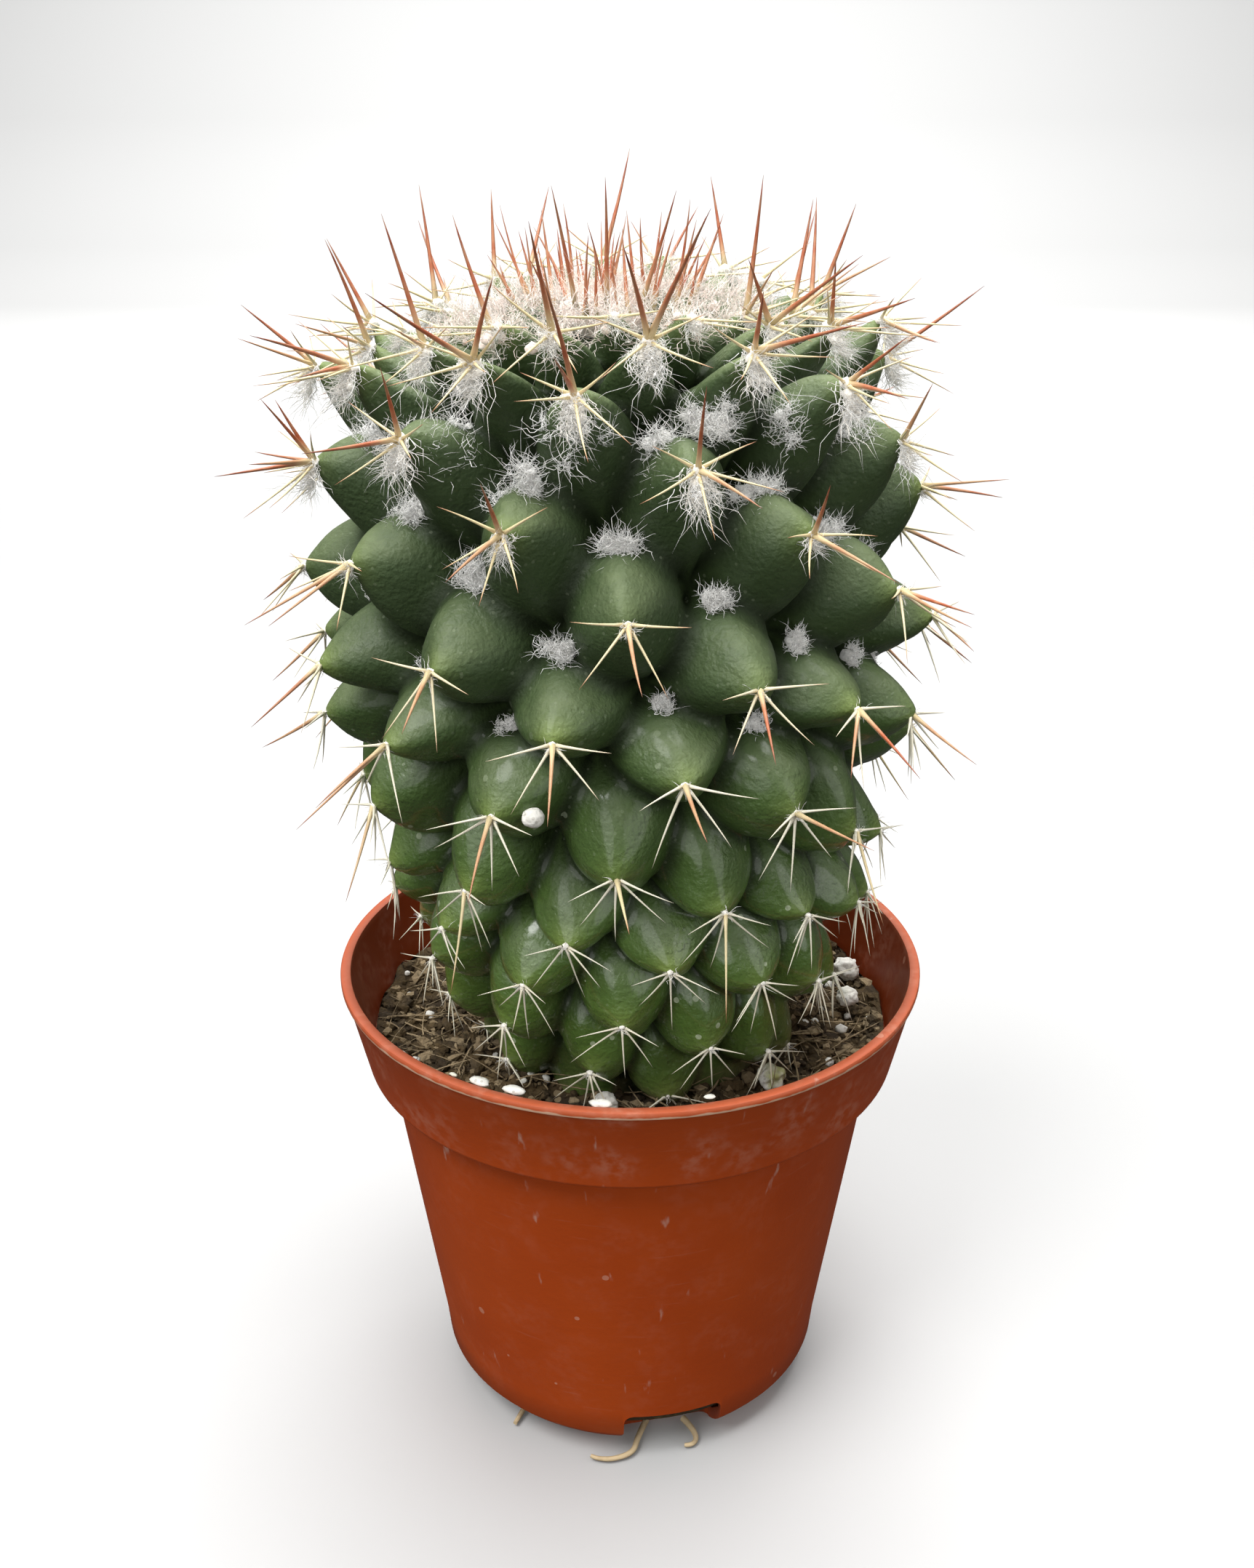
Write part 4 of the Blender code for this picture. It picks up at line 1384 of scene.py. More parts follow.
@dataclass
class PottingSoil:
    """The peat in the pot: one lumpy body, loose crumbs, fibres and small grit."""

    pot: GrowerPot
    level: float
    stem_centre: float
    hole_radius: float = 0.0138
    hole_depth: float = 0.0066
    lump: float = 0.0011
    segments: int = 120
    crumb_count: int = 2600
    fibre_count: int = 520
    grit_count: int = 60

    @property
    def edge(self) -> float:
        """The soil's outer radius, over the step inside the collar."""
        return self.pot.collar_foot_radius - self.pot.wall - 0.00012

    def bed_height(self, x: float, y: float) -> float:
        """Return the soil's surface height at a spot."""
        spot = Vector((x, y, 0.0))
        wave = noise.noise(spot * 210.0) + 0.55 * noise.noise(spot * 520.0)
        reach = math.hypot(x, y)
        bank = 0.0008 * max(0.0, (reach - (self.edge - 0.003)) / 0.003)
        return self.level + self.lump * wave + bank

    def build_bed(self, finishes: Finishes) -> bpy.types.Object:
        """Draw the body of soil ring by ring and raise its clods.

        Args:
            finishes: all finishes.

        Returns:
            The soil.
        """
        pot, level = self.pot, self.level
        low = pot.foot_bend_height + pot.floor / 2
        gap = 0.00012
        edge = self.edge
        shelf = pot.height - pot.collar_height + pot.wall
        stations = [(0.004, pot.floor + gap), (pot.foot_radius - pot.wall - 2 * gap, pot.floor + gap),
                    (pot.body_bottom_radius - pot.wall - gap, low + 2 * gap),
                    (pot.inner_radius(level - 0.004) - gap, level - 0.004),
                    (pot.inner_radius(shelf) - gap, shelf), (edge, level + 0.0005)]
        rings = 30
        inner = self.hole_radius - 0.0015
        for ring in range(rings + 1):
            stations.append((edge - (edge - inner) * ring / rings - 0.0002, level))
        stations += [(inner - 0.001, level - self.hole_depth), (0.003, level - self.hole_depth)]
        bed = drawn_rings("potting_soil", stations, self.segments)
        for vert in bed.data.vertices:
            if vert.co.z > level - 0.0005:
                vert.co.z = self.bed_height(vert.co.x, vert.co.y)
                clod = noise.noise(vert.co * 1300.0)
                vert.co.z += 0.0004 * clod
        bed.data.shade_smooth()
        store(bed, "tint", np.zeros(len(bed.data.vertices)))
        dress(bed, finishes.peat, "potting_soil", "soil")
        return bed

    def spot(self, rng: np.random.Generator, lift: float) -> tuple[float, float, float]:
        """Return a random place on the ring of soil between the stem and the wall.

        Args:
            rng: the source of chance.
            lift: how high over the soil.

        Returns:
            The place.
        """
        outer = self.edge - 0.0005
        while True:
            angle = rng.uniform(0, math.tau)
            reach = math.sqrt(rng.uniform(0.0125**2, outer**2))
            x, y = reach * math.sin(angle), -reach * math.cos(angle)
            if math.hypot(x - self.stem_centre, y) > 0.0135:
                return x, y, self.bed_height(x, y) + lift

    def build_loose(self, finishes: Finishes) -> None:
        """Strew crumbs, fibres and grit over the bed.

        Args:
            finishes: all finishes.
        """
        rng = np.random.default_rng(41)
        crumbs = Lumps(1, 0.55, 6)
        for _ in range(self.crumb_count):
            size = rng.uniform(0.00018, 0.00085) * rng.uniform(0.4, 1.0)
            squash = (rng.uniform(0.6, 1.6), rng.uniform(0.6, 1.1), rng.uniform(0.4, 1.0))
            tint = rng.uniform(0.5, 1.0) if rng.random() < 0.24 else rng.uniform(0.0, 0.15)
            crumbs.add(self.spot(rng, size * 0.3), size, squash, rng.uniform(0, 6.28), tint)
        piece = crumbs.build("soil_crumbs", smooth=False)
        dress(piece, finishes.peat, "potting_soil")
        fibres = Strands(4, 5, Taper.HAIR)
        for _ in range(self.fibre_count):
            angle = rng.uniform(0, math.tau)
            direction = (math.cos(angle), math.sin(angle), rng.uniform(-0.12, 0.45))
            bend = rng.uniform(-0.5, 0.5, 3) * (1.0, 1.0, 0.5)
            length = rng.uniform(0.0015, 0.0058)
            x, y, z = self.spot(rng, 0.0003)
            near = math.hypot(x + direction[0] * length, y + direction[1] * length)
            if near > self.edge - 0.0002:
                length = 0.0010
            fibres.add((x, y, z), direction, length, rng.uniform(0.00005, 0.00015), tuple(bend),
                       rng.uniform(0.4, 1.2))
        piece = fibres.build("soil_fibres")
        dress(piece, finishes.peat, "potting_soil")
        grit = Lumps(2, 0.35, 4)
        for _ in range(self.grit_count):
            size = rng.uniform(0.0002, 0.0006)
            grit.add(self.spot(rng, size * 0.5), size, (1.0, 0.9, 0.8), rng.uniform(0, 6.28))
        piece = grit.build("soil_grit")
        dress(piece, finishes.grit, "perlite")

    def build(self, finishes: Finishes) -> None:
        """Build the bed and all that lies loose on it."""
        self.build_bed(finishes)
        self.build_loose(finishes)


@dataclass
class Perlite:
    """The few large grains of perlite and the white specks on the pot's rim."""

    rim_height: float
    grains: tuple[str, ...] = ("perlite_1", "perlite_2", "perlite_3", "perlite_4", "perlite_5")
    stained_grain: str = "perlite_4"
    stem_grain: str = "perlite_5"
    stem_grain_shift: tuple = (0.00335, 0.0011, 0.0008)
    specks: tuple = ((-28.1, 26.1, 0.62), (-21.2, 26.0, 0.66), (-5.2, 26.2, 0.60), (14.3, 26.0, 0.34),
                     (-33.5, 26.4, 0.26))

    def build(self, finishes: Finishes) -> None:
        """Build each grain in the box of its frame node, and the specks on the rim.

        Args:
            finishes: all finishes.
        """
        for index, name in enumerate(self.grains):
            low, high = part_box(name)
            centre = (low + high) / 2
            roughness = 0.30
            if name == self.stem_grain:
                centre = centre + Vector(self.stem_grain_shift)
                roughness = 0.12
            grain = Lumps(4, roughness, 1, index)
            flat = (high.z - low.z) / (high.x - low.x)
            grain.add(centre, 0.98 * (high.x - low.x) / 2, (1.0, 1.0, flat), index,
                      1.0 if name == self.stained_grain else 0.0)
            piece = grain.build(name + "_grain")
            dress(piece, finishes.grit, "perlite", name)
        specks = Lumps(2, 0.30, 3)
        for angle, reach, size in self.specks:
            turn = math.radians(angle)
            place = (reach * MM * math.sin(turn), -reach * MM * math.cos(turn),
                     self.rim_height + 0.00005)
            specks.add(place, size * MM, (1.5, 0.8, 0.45), turn)
        piece = specks.build("rim_specks")
        dress(piece, finishes.grit, "perlite")


@dataclass
class Stem:
    """The green stem with all its tubercles."""

    lattice: Lattice
    steps: int = 22
    crown_height: float = 0.0648
    foot_radius: float = 0.0128
    foot_depth: float = 0.0062
    weld: float = 0.000002
    wander: float = 0.00048
    wander_scale: float = 170.0
    tip_radius: float = 0.0016

    def skin_points(self) -> tuple[np.ndarray, np.ndarray, list]:
        """Lay a fine grid over every tubercle's rhombus.

        Returns:
            The bare points; their lattice numbers, each cell's own number, their angles and how
            near they are to a seam; and the faces.
        """
        lattice, steps = self.lattice, self.steps
        share = np.linspace(-0.5, 0.5, steps + 1)
        p, q = np.meshgrid(share, share, indexing="ij")
        blocks, marks, faces = [], [], []
        for cell in range(lattice.first, lattice.last + 1):
            number = cell + 8 * p + 13 * q
            angle = cell * GOLDEN_ANGLE + p * EIGHT_STEP + q * THIRTEEN_STEP
            start = len(blocks) * (steps + 1)**2
            blocks.append(lattice.place(GROOVE_STATIONS, number, angle).reshape(-1, 3))
            own = np.full(number.size, float(cell))
            seam = 2 * np.maximum(np.abs(p), np.abs(q)).reshape(-1)
            marks.append(np.stack([number.reshape(-1), own, angle.reshape(-1), seam], axis=1))
            for i in range(steps):
                for j in range(steps):
                    a = start + i * (steps + 1) + j
                    faces.append((a, a + steps + 1, a + steps + 2, a + 1))
        return np.vstack(blocks), np.vstack(marks), faces

    def close(self, stem: bpy.types.Object) -> None:
        """Weld the cells and close the crown and the foot.

        Args:
            stem: the stem to close.
        """
        bm = bmesh.new()
        bm.from_mesh(stem.data)
        bmesh.ops.remove_doubles(bm, verts=bm.verts, dist=self.weld)
        middle = self.lattice.soil_level + self.crown_height / 2
        crown = Vector(self.lattice.stand(np.array((0.0, 0.0, self.crown_height))))
        for top in (True, False):
            rim = [e for e in bm.edges if e.is_boundary and (e.verts[0].co.z > middle) == top]
            ring = bmesh.ops.extrude_edge_only(bm, edges=rim)["geom"]
            verts = [v for v in ring if isinstance(v, bmesh.types.BMVert)]
            if top:
                bmesh.ops.pointmerge(bm, verts=verts, merge_co=crown)
                continue
            for vert in verts:
                flat = Vector((vert.co.x - self.lattice.offset, vert.co.y, 0.0)).normalized()
                flat = flat * self.foot_radius
                vert.co = (flat.x + self.lattice.offset, flat.y,
                           self.lattice.soil_level - self.foot_depth)
            edges = [e for e in ring if isinstance(e, bmesh.types.BMEdge)]
            bmesh.ops.contextual_create(bm, geom=edges)
        bmesh.ops.recalc_face_normals(bm, faces=bm.faces)
        bm.to_mesh(stem.data)
        bm.free()

    def build(self, finishes: Finishes) -> bpy.types.Object:
        """Build the stem in place of the frame's plainer one.

        Args:
            finishes: all finishes.

        Returns:
            The stem.
        """
        lattice = self.lattice
        bare, marks, faces = self.skin_points()
        raised, rise = lattice.swollen(bare, marks[:, 0], marks[:, 2])
        drift = [noise.noise_vector(Vector(point) * self.wander_scale) for point in raised]
        raised = raised + np.array(drift) * self.wander * rise[:, None]
        tips = lattice.tips(marks[:, 1])
        glow = np.exp(-(np.linalg.norm(raised - tips, axis=1) / self.tip_radius)**2)
        age = (marks[:, 0] - lattice.first) / (lattice.last - lattice.first)
        stem = from_arrays("cactus_stem", raised, faces)
        store(stem, "rise", rise)
        store(stem, "tip", glow)
        store(stem, "age", age)
        store(stem, "seam", marks[:, 3])
        store(stem, "tone", (np.sin(marks[:, 1] * 12.9898) * 43758.5453) % 1.0)
        self.close(stem)
        stem.data.shade_smooth()
        dress(stem, finishes.skin, "green_skin", "stem")
        return stem


@dataclass(frozen=True)
class Central:
    """One large spine: its bearing from the front to the right, its rise, and its length in mm."""

    bearing: float
    rise: float
    length: float
    tint: Tint = Tint.RUST

    def direction(self) -> tuple[float, float, float]:
        """Return the way it points."""
        turn, up = math.radians(self.bearing), math.radians(self.rise)
        return math.sin(turn) * math.cos(up), -math.cos(turn) * math.cos(up), math.sin(up)


@dataclass
class SpineClusters:
    """Every areole's radial and central spines."""

    lattice: Lattice
    first: int = -60
    last: int = 92
    seed: int = 7
    large: dict = field(default_factory=lambda: {
        -42: (Central(-10, 50, 8.5),),
        -39: (Central(40, 30, 9.0), Central(-25, 45, 6.0)),
        -34: (Central(25, 45, 12.0), Central(-15, 50, 8.0)),
        -31: (Central(40, 15, 8.0), Central(-5, 55, 5.5)),
        -29: (Central(-35, 25, 10.5), Central(20, 50, 7.5)),
        -26: (Central(45, 15, 9.5), Central(5, 50, 5.5)),
        -24: (Central(-40, 20, 9.0), Central(-30, 0, 5.5)),
        -23: (Central(35, -15, 6.0, Tint.PINKISH),),
        -21: (Central(-10, 50, 10.0), Central(-10, 30, 5.5)),
        -18: (Central(30, 30, 6.5), Central(25, 0, 7.0)),
        -16: (Central(-5, 55, 6.5), Central(-35, 0, 8.5)),
        -13: (Central(0, 50, 7.5), Central(35, -10, 7.0, Tint.PINKISH)),
        -11: (Central(-40, 50, 6.5), Central(-65, 60, 5.5), Central(-40, 0, 8.5),
              Central(-35, 5, 6.5, Tint.PINKISH)),
        -10: (Central(20, 50, 5.5, Tint.PINKISH),),
        -8: (Central(-10, 45, 6.0), Central(-25, -10, 7.5, Tint.PINKISH)),
        -5: (Central(10, 45, 5.5), Central(35, -10, 8.5, Tint.PINKISH)),
        -3: (Central(-50, -20, 9.0, Tint.PINKISH), Central(-45, -25, 7.5, Tint.PINKISH)),
        0: (Central(5, -25, 7.5, Tint.PINKISH),),
        2: (Central(-120, -40, 6.0, Tint.PINKISH),),
        3: (Central(30, -10, 7.5, Tint.PINKISH), Central(40, -5, 7.0)),
        5: (Central(-10, -15, 7.5, Tint.PINKISH),),
        8: (Central(5, -25, 7.5),),
        11: (Central(25, -15, 6.0, Tint.PINKISH),),
        13: (Central(0, -30, 7.0, Tint.PINKISH),),
        15: (Central(-90, -45, 6.5, Tint.PINKISH),),
        16: (Central(25, -15, 8.5), Central(-15, -35, 6.0, Tint.PINKISH)),
        18: (Central(-40, -25, 9.0, Tint.PINKISH), Central(-40, -20, 7.5, Tint.PINKISH)),
        21: (Central(10, -15, 7.0, Tint.PINKISH),),
        23: (Central(-110, -35, 7.5, Tint.PINKISH),),
        24: (Central(30, -15, 8.0, Tint.PINKISH),),
        26: (Central(-10, -20, 8.0, Tint.PINKISH),),
        29: (Central(35, 0, 8.5, Tint.PINKISH),),
        34: (Central(10, -20, 5.5, Tint.CREAM),),
    })

    def radials(self, batch: Strands, number: int, rng: np.random.Generator) -> None:
        """Grow the thin spines that spread flat round an areole.

        Args:
            batch: the batch that takes them.
            number: the areole's lattice number.
            rng: the source of chance.
        """
        tip, axis, down, side = self.lattice.areole(number)
        youth = min(max((4 - number) / 30, 0.0), 1.0)
        old = min(max((number - 24) / 24, 0.0), 1.0)
        if number < -44:
            turns = (-60, 60)
        elif number < -30:
            turns = (-95, -35, 25, 90)
        elif number < -6:
            turns = (-105, -50, 0, 50, 105)
        elif number < 24:
            turns = (-86, -38, 38, 86)
        else:
            turns = (-90, -46, 0, 46, 90)
        tint = float(np.interp(number, (-10, 6, 30), (Tint.CREAM.value, 0.28, Tint.NEEDLE.value)))
        for turn in turns:
            angle = math.radians(turn + rng.uniform(-13.0, 13.0))
            flat = down * math.cos(angle) + side * math.sin(angle)
            tilt = math.radians(rng.uniform(56.0, 76.0) - 12.0 * youth)
            direction = flat * math.sin(tilt) + axis * math.cos(tilt)
            length = (0.0043 + 0.0014 * math.cos(angle)) * rng.uniform(0.82, 1.15)
            length *= 1.0 + 0.12 * youth - 0.18 * old
            radius = 0.000125 - 0.000030 * old
            bend = rng.uniform(-0.07, 0.07, 3)
            batch.add(tip + axis * 0.0001 + flat * 0.00028, direction, length, radius, bend, tint)

    def centrals(self, batch: Strands, number: int, rng: np.random.Generator) -> None:
        """Grow the thick spines in an areole's middle, from the listed table or by its age.

        Args:
            batch: the batch that takes them.
            number: the areole's lattice number.
            rng: the source of chance.
        """
        tip, axis, down, side = self.lattice.areole(number)
        youth = min(max((5 - number) / 40, 0.0), 1.0)
        old = min(max((number - 24) / 20, 0.0), 1.0)
        thick = 0.000190 + 0.000030 * youth
        if number in self.large:
            for central in self.large[number]:
                batch.add(tip + axis * 0.0001, central.direction(), central.length * MM, thick,
                          rng.uniform(-0.05, 0.05, 3), central.tint.value)
            return
        if old > 0.9:
            if rng.random() < 0.5:
                direction = unit(axis + down * 0.9 + side * rng.uniform(-0.4, 0.4))
                batch.add(tip + axis * 0.0001, direction, rng.uniform(0.0038, 0.0052), 0.00010,
                          rng.uniform(-0.06, 0.06, 3), 0.12)
            return
        if number < -30 and rng.random() < (0.75 if number < -44 else 0.55):
            return
        lean = 0.75 - 1.45 * youth
        direction = unit(axis + down * lean + side * rng.uniform(-0.45, 0.45))
        length = (0.0072 + 0.0020 * youth) * rng.uniform(0.80, 1.15)
        tint = Tint.RUST.value - 0.15 * (1 - youth) - 0.35 * old
        batch.add(tip + axis * 0.0001, direction, length, thick * (1 - 0.3 * old),
                  rng.uniform(-0.05, 0.05, 3), tint)
        if number < 0 and rng.random() < 0.55:
            direction = unit(axis + down * rng.uniform(0.0, 0.5) + side * rng.choice((-0.6, 0.6)))
            batch.add(tip + axis * 0.0001, direction, rng.uniform(0.0055, 0.0075), 0.00016,
                      (0, 0, 0), Tint.PINKISH.value)

    def build(self, finishes: Finishes) -> None:
        """Build the clusters in a few pieces, from the crown down.

        Args:
            finishes: all finishes.
        """
        rng = np.random.default_rng(self.seed)
        bands = (("spines_upper", self.first, -22), ("spines_shoulder", -21, 2),
                 ("spines_middle", 3, 34), ("spines_lower", 35, self.last))
        for name, start, end in bands:
            batch = Strands(6, 6, Taper.SPINE)
            for number in range(start, end + 1):
                self.radials(batch, number, rng)
                self.centrals(batch, number, rng)
            piece = batch.build(name)
            nodes = ["areole_%02d" % (n + 43) for n in range(max(start, -42), min(end, -3) + 1)]
            dress(piece, finishes.spine, "cream_spines", *nodes)


@dataclass
class Wool:
    """Tufts of wool: in the axils, hanging from the upper areoles, and on the crown."""

    lattice: Lattice
    first: int = -60
    last: int = 92
    axil_nodes: tuple = ((-13, "axil_wool_1"), (-8, "axil_wool_2"), (0, "axil_wool_3"),
                         (5, "axil_wool_4"), (8, "axil_wool_5"), (13, "axil_wool_6"))
    seed: int = 19

    def tuft(self, hairs: Strands, cores: Lumps, centre: np.ndarray, out: np.ndarray,
             radius: float, count: int, rng: np.random.Generator) -> None:
        """Add one axil tuft: a few matted lumps in a cloud of short curly hairs.

        Args:
            hairs: the batch that takes the hairs.
            cores: the batch that takes the lumps.
            centre: the tuft's middle.
            out: the way out of the groove.
            radius: about half the tuft's width.
            count: the number of hairs.
            rng: the source of chance.
        """
        kind = Fluff.AXIL.value
        wide = unit(np.cross(out, (0.0, 0.0, 1.0)))
        cores.add(centre - out * radius * 0.60, radius * 0.56, (1.0, 1.0, 0.85),
                  rng.uniform(0, 6), kind)
        middles = [centre]
        for _ in range(7):
            way = rng.normal(size=3)
            way = way - out * way.dot(out) * 0.6 + wide * way.dot(wide) * 0.5
            spot = centre + unit(way) * radius * rng.uniform(0.25, 0.80)
            cores.add(spot - out * radius * 0.2, radius * rng.uniform(0.12, 0.24),
                      (1.0, 1.0, 0.9), rng.uniform(0, 6), kind)
            middles.append(spot)
        for _ in range(count):
            middle = middles[rng.integers(len(middles))]
            way = unit(unit(rng.normal(size=3)) + out * 0.6)
            start = middle + way * radius * rng.uniform(0.10, 0.34)
            across = unit(np.cross(way, rng.normal(size=3)))
            heading = unit(across + way * rng.uniform(0.1, 0.9))
            bend = across * rng.uniform(-0.6, -0.1) + rng.normal(size=3) * 0.5
            length = radius * rng.uniform(0.30, 0.68)
            hairs.add(start, heading, length, rng.uniform(0.000026, 0.000042), bend, kind)

    def axil_place(self, number: int, node: str | None) -> tuple[np.ndarray, np.ndarray]:
        """Return an axil tuft's middle and the way out of the groove.

        Args:
            number: the lattice number of the tubercle below it.
            node: the frame's tuft there, if it has one.

        Returns:
            The middle and the way out.
        """
        if node:
            low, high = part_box(node)
            centre = np.array((low + high) / 2)
            _, out = self.lattice.axil(number, 0.0)
        else:
            stand_out = float(np.interp(number, (-26, -13, -8, 0, 8, 34),
                                        (0.0076, 0.0055, 0.0042, 0.0034, 0.0030, 0.0023)))
            centre, out = self.lattice.axil(number, stand_out)
        aside = unit(np.cross(out, (0.0, 0.0, -1.0)))
        return centre + aside * 0.0013 + np.array((0.0, 0.0, -0.0012)), out

    def build_axils(self, finishes: Finishes, rng: np.random.Generator) -> None:
        """Build the axil tufts; the frame's six give their places, the rest follow them.

        Args:
            finishes: all finishes.
            rng: the source of chance.
        """
        known = dict(self.axil_nodes)
        bands = (("axil_wool_upper", -26, -12), ("axil_wool_middle", -11, 5),
                 ("axil_wool_lower", 6, 33))
        for name, first, last in bands:
            hairs, cores, nodes = Strands(3, 4, Taper.HAIR, 0.28), Lumps(2, 0.5, 5), []
            for number in range(first, last + 1):
                centre, out = self.axil_place(number, known.get(number))
                if number in known:
                    nodes.append(known[number])
                size = float(np.interp(number, (-26, -6, 2, 16, 34), (2.3, 2.2, 1.8, 1.3, 0.8)))
                size *= rng.uniform(0.85, 1.1) * MM
                count = int(np.interp(number, (-26, 0, 34), (480, 390, 120)))
                self.tuft(hairs, cores, centre, out, size, count, rng)
            piece = hairs.build(name, cores)
            dress(piece, finishes.wool, "wool", *nodes)

    def pad(self, hairs: Strands, cores: Lumps, number: int, rng: np.random.Generator) -> None:
        """Add one areole's felted pad and the locks that hang from it.

        Args:
            hairs: the batch that takes the hairs.
            cores: the batch that takes the lumps.
            number: the areole's lattice number.
            rng: the source of chance.
        """
        tip, axis, down, side = self.lattice.areole(number)
        youth = float(np.interp(number, (-60, -44, -36, -12, -4, 8, 30),
                                (0.30, 0.40, 0.95, 0.95, 0.30, 0.08, 0.0)))
        radius = 0.00030 + 0.00030 * youth
        kind = Fluff.AREOLE.value
        cores.add(tip, radius, (1.0, 1.0, 0.8), number, kind)
        for _ in range(int(5 * youth)):
            fall, aside = rng.uniform(0.0, 1.6) * youth, rng.normal() * 0.40 * youth
            spot = tip + (down * fall + side * aside - axis * 0.16 * fall**2) * MM
            cores.add(spot, radius * rng.uniform(0.45, 0.85), (1.0, 1.0, 0.8),
                      rng.uniform(0, 6), kind + 0.2)
        for _ in range(int(14 + 270 * youth)):
            fall, aside = rng.uniform(-0.3, 2.0) * youth, rng.normal() * 0.50 * youth
            spot = tip + (down * fall + side * aside - axis * 0.16 * fall**2) * MM
            heading = rng.normal(size=3) * 0.6 + axis * 0.40 + down * (0.3 + 0.6 * youth)
            length = rng.uniform(0.0005, 0.0008 + 0.0012 * youth)
            if rng.random() < 0.10:
                length *= 1.7
            bend = rng.normal(size=3) * 0.35 + np.array((0.0, 0.0, -0.4 * youth))
            hairs.add(spot, heading, length, rng.uniform(0.000022, 0.000036), bend,
                      kind + rng.uniform(0.1, 0.5))

    def build_areoles(self, finishes: Finishes, rng: np.random.Generator) -> None:
        """Put a felted pad on each areole, with locks of hair that hang from the upper ones.

        Args:
            finishes: all finishes.
            rng: the source of chance.
        """
        bands = (("areole_wool_crown", self.first, -31), ("areole_wool_shoulder", -30, -12),
                 ("areole_wool", -11, self.last))
        for name, first, last in bands:
            hairs, cores = Strands(3, 4, Taper.HAIR, 0.16), Lumps(1, 0.35, 4)
            for number in range(first, last + 1):
                self.pad(hairs, cores, number, rng)
            piece = hairs.build(name, cores)
            dress(piece, finishes.wool, "wool")

    @staticmethod
    def crown_core(hairs: Strands, cores: Lumps, centre: np.ndarray,
                   rng: np.random.Generator) -> None:
        """Add the felted core of the crown with its short hairs.

        Args:
            hairs: the batch that takes the hairs.
            cores: the batch that takes the lump.
            centre: the middle of the frame's crown wool.
            rng: the source of chance.
        """
        sunk = centre - np.array((0.0, 0.0, 0.0009))
        cores.add(sunk, 0.0036, (1.0, 1.0, 0.50), 0.0, Fluff.CROWN.value)
        for _ in range(700):
            way = unit(rng.normal(size=3) * (1.0, 1.0, 0.6))
            way[2] = abs(way[2])
            heading = unit(np.cross(way, rng.normal(size=3)) + way * rng.uniform(0.1, 0.8))
            hairs.add(sunk + way * np.array((0.0034, 0.0034, 0.0017)), heading,
                      rng.uniform(0.0007, 0.0018), 0.00003, rng.normal(size=3) * 0.5,
                      rng.uniform(0.0, 0.3))

    def crown_tufts(self, hairs: Strands, cores: Lumps, rng: np.random.Generator) -> None:
        """Add the round tufts on the youngest areoles.

        Args:
            hairs: the batch that takes the hairs.
            cores: the batch that takes the lumps.
            rng: the source of chance.
        """
        for number in range(-60, -40):
            tip, axis, _, _ = self.lattice.areole(number)
            middle = tip - axis * 0.0012
            for _ in range(3):
                spot = middle + rng.normal(size=3) * 0.0007
                cores.add(spot, rng.uniform(0.0003, 0.0005), (1.0, 1.0, 0.9), rng.uniform(0, 6),
                          Fluff.CROWN.value)
            for _ in range(150):
                way = unit(rng.normal(size=3))
                hairs.add(middle + way * rng.uniform(0.0003, 0.0014), way + rng.normal(size=3),
                          rng.uniform(0.0006, 0.0015), 0.000032, rng.normal(size=3) * 0.4,
                          rng.uniform(0.0, 0.4))

    def crown_cushion(self, hairs: Strands, rng: np.random.Generator) -> None:
        """Strew the loose hairs over the whole crown.

        Args:
            hairs: the batch that takes them.
            rng: the source of chance.
        """
        for _ in range(2600):
            angle, reach = rng.uniform(0, math.tau), 0.0125 * math.sqrt(rng.random())
            local = np.array((reach * math.cos(angle), reach * math.sin(angle), 0.0))
            local[2] = 0.0685 - 14.0 * reach**2
            start = self.lattice.stand(local)
            heading = unit(np.array((math.cos(angle), math.sin(angle), 0.0)) * rng.uniform(0, 1.0)
                           + rng.normal(size=3) * 0.7 + np.array((0.0, 0.0, 0.3)))
            bend = rng.normal(size=3) * 0.6
            hairs.add(start, heading, rng.uniform(0.0008, 0.0022), 0.00003, bend,
                      rng.uniform(0.0, 0.4))

    def build_crown(self, finishes: Finishes, rng: np.random.Generator) -> None:
        """Build the matted cushion in the middle of the crown.

        Args:
            finishes: all finishes.
            rng: the source of chance.
        """
        hairs, cores = Strands(3, 4, Taper.HAIR, 0.2), Lumps(2, 0.35, 5)
        low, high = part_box("crown_wool")
        centre = np.array((low + high) / 2)
        self.crown_core(hairs, cores, centre, rng)
        self.crown_tufts(hairs, cores, rng)
        self.crown_cushion(hairs, rng)
        piece = hairs.build("crown_wool_cushion", cores)
        dress(piece, finishes.wool, "wool", "crown_wool")

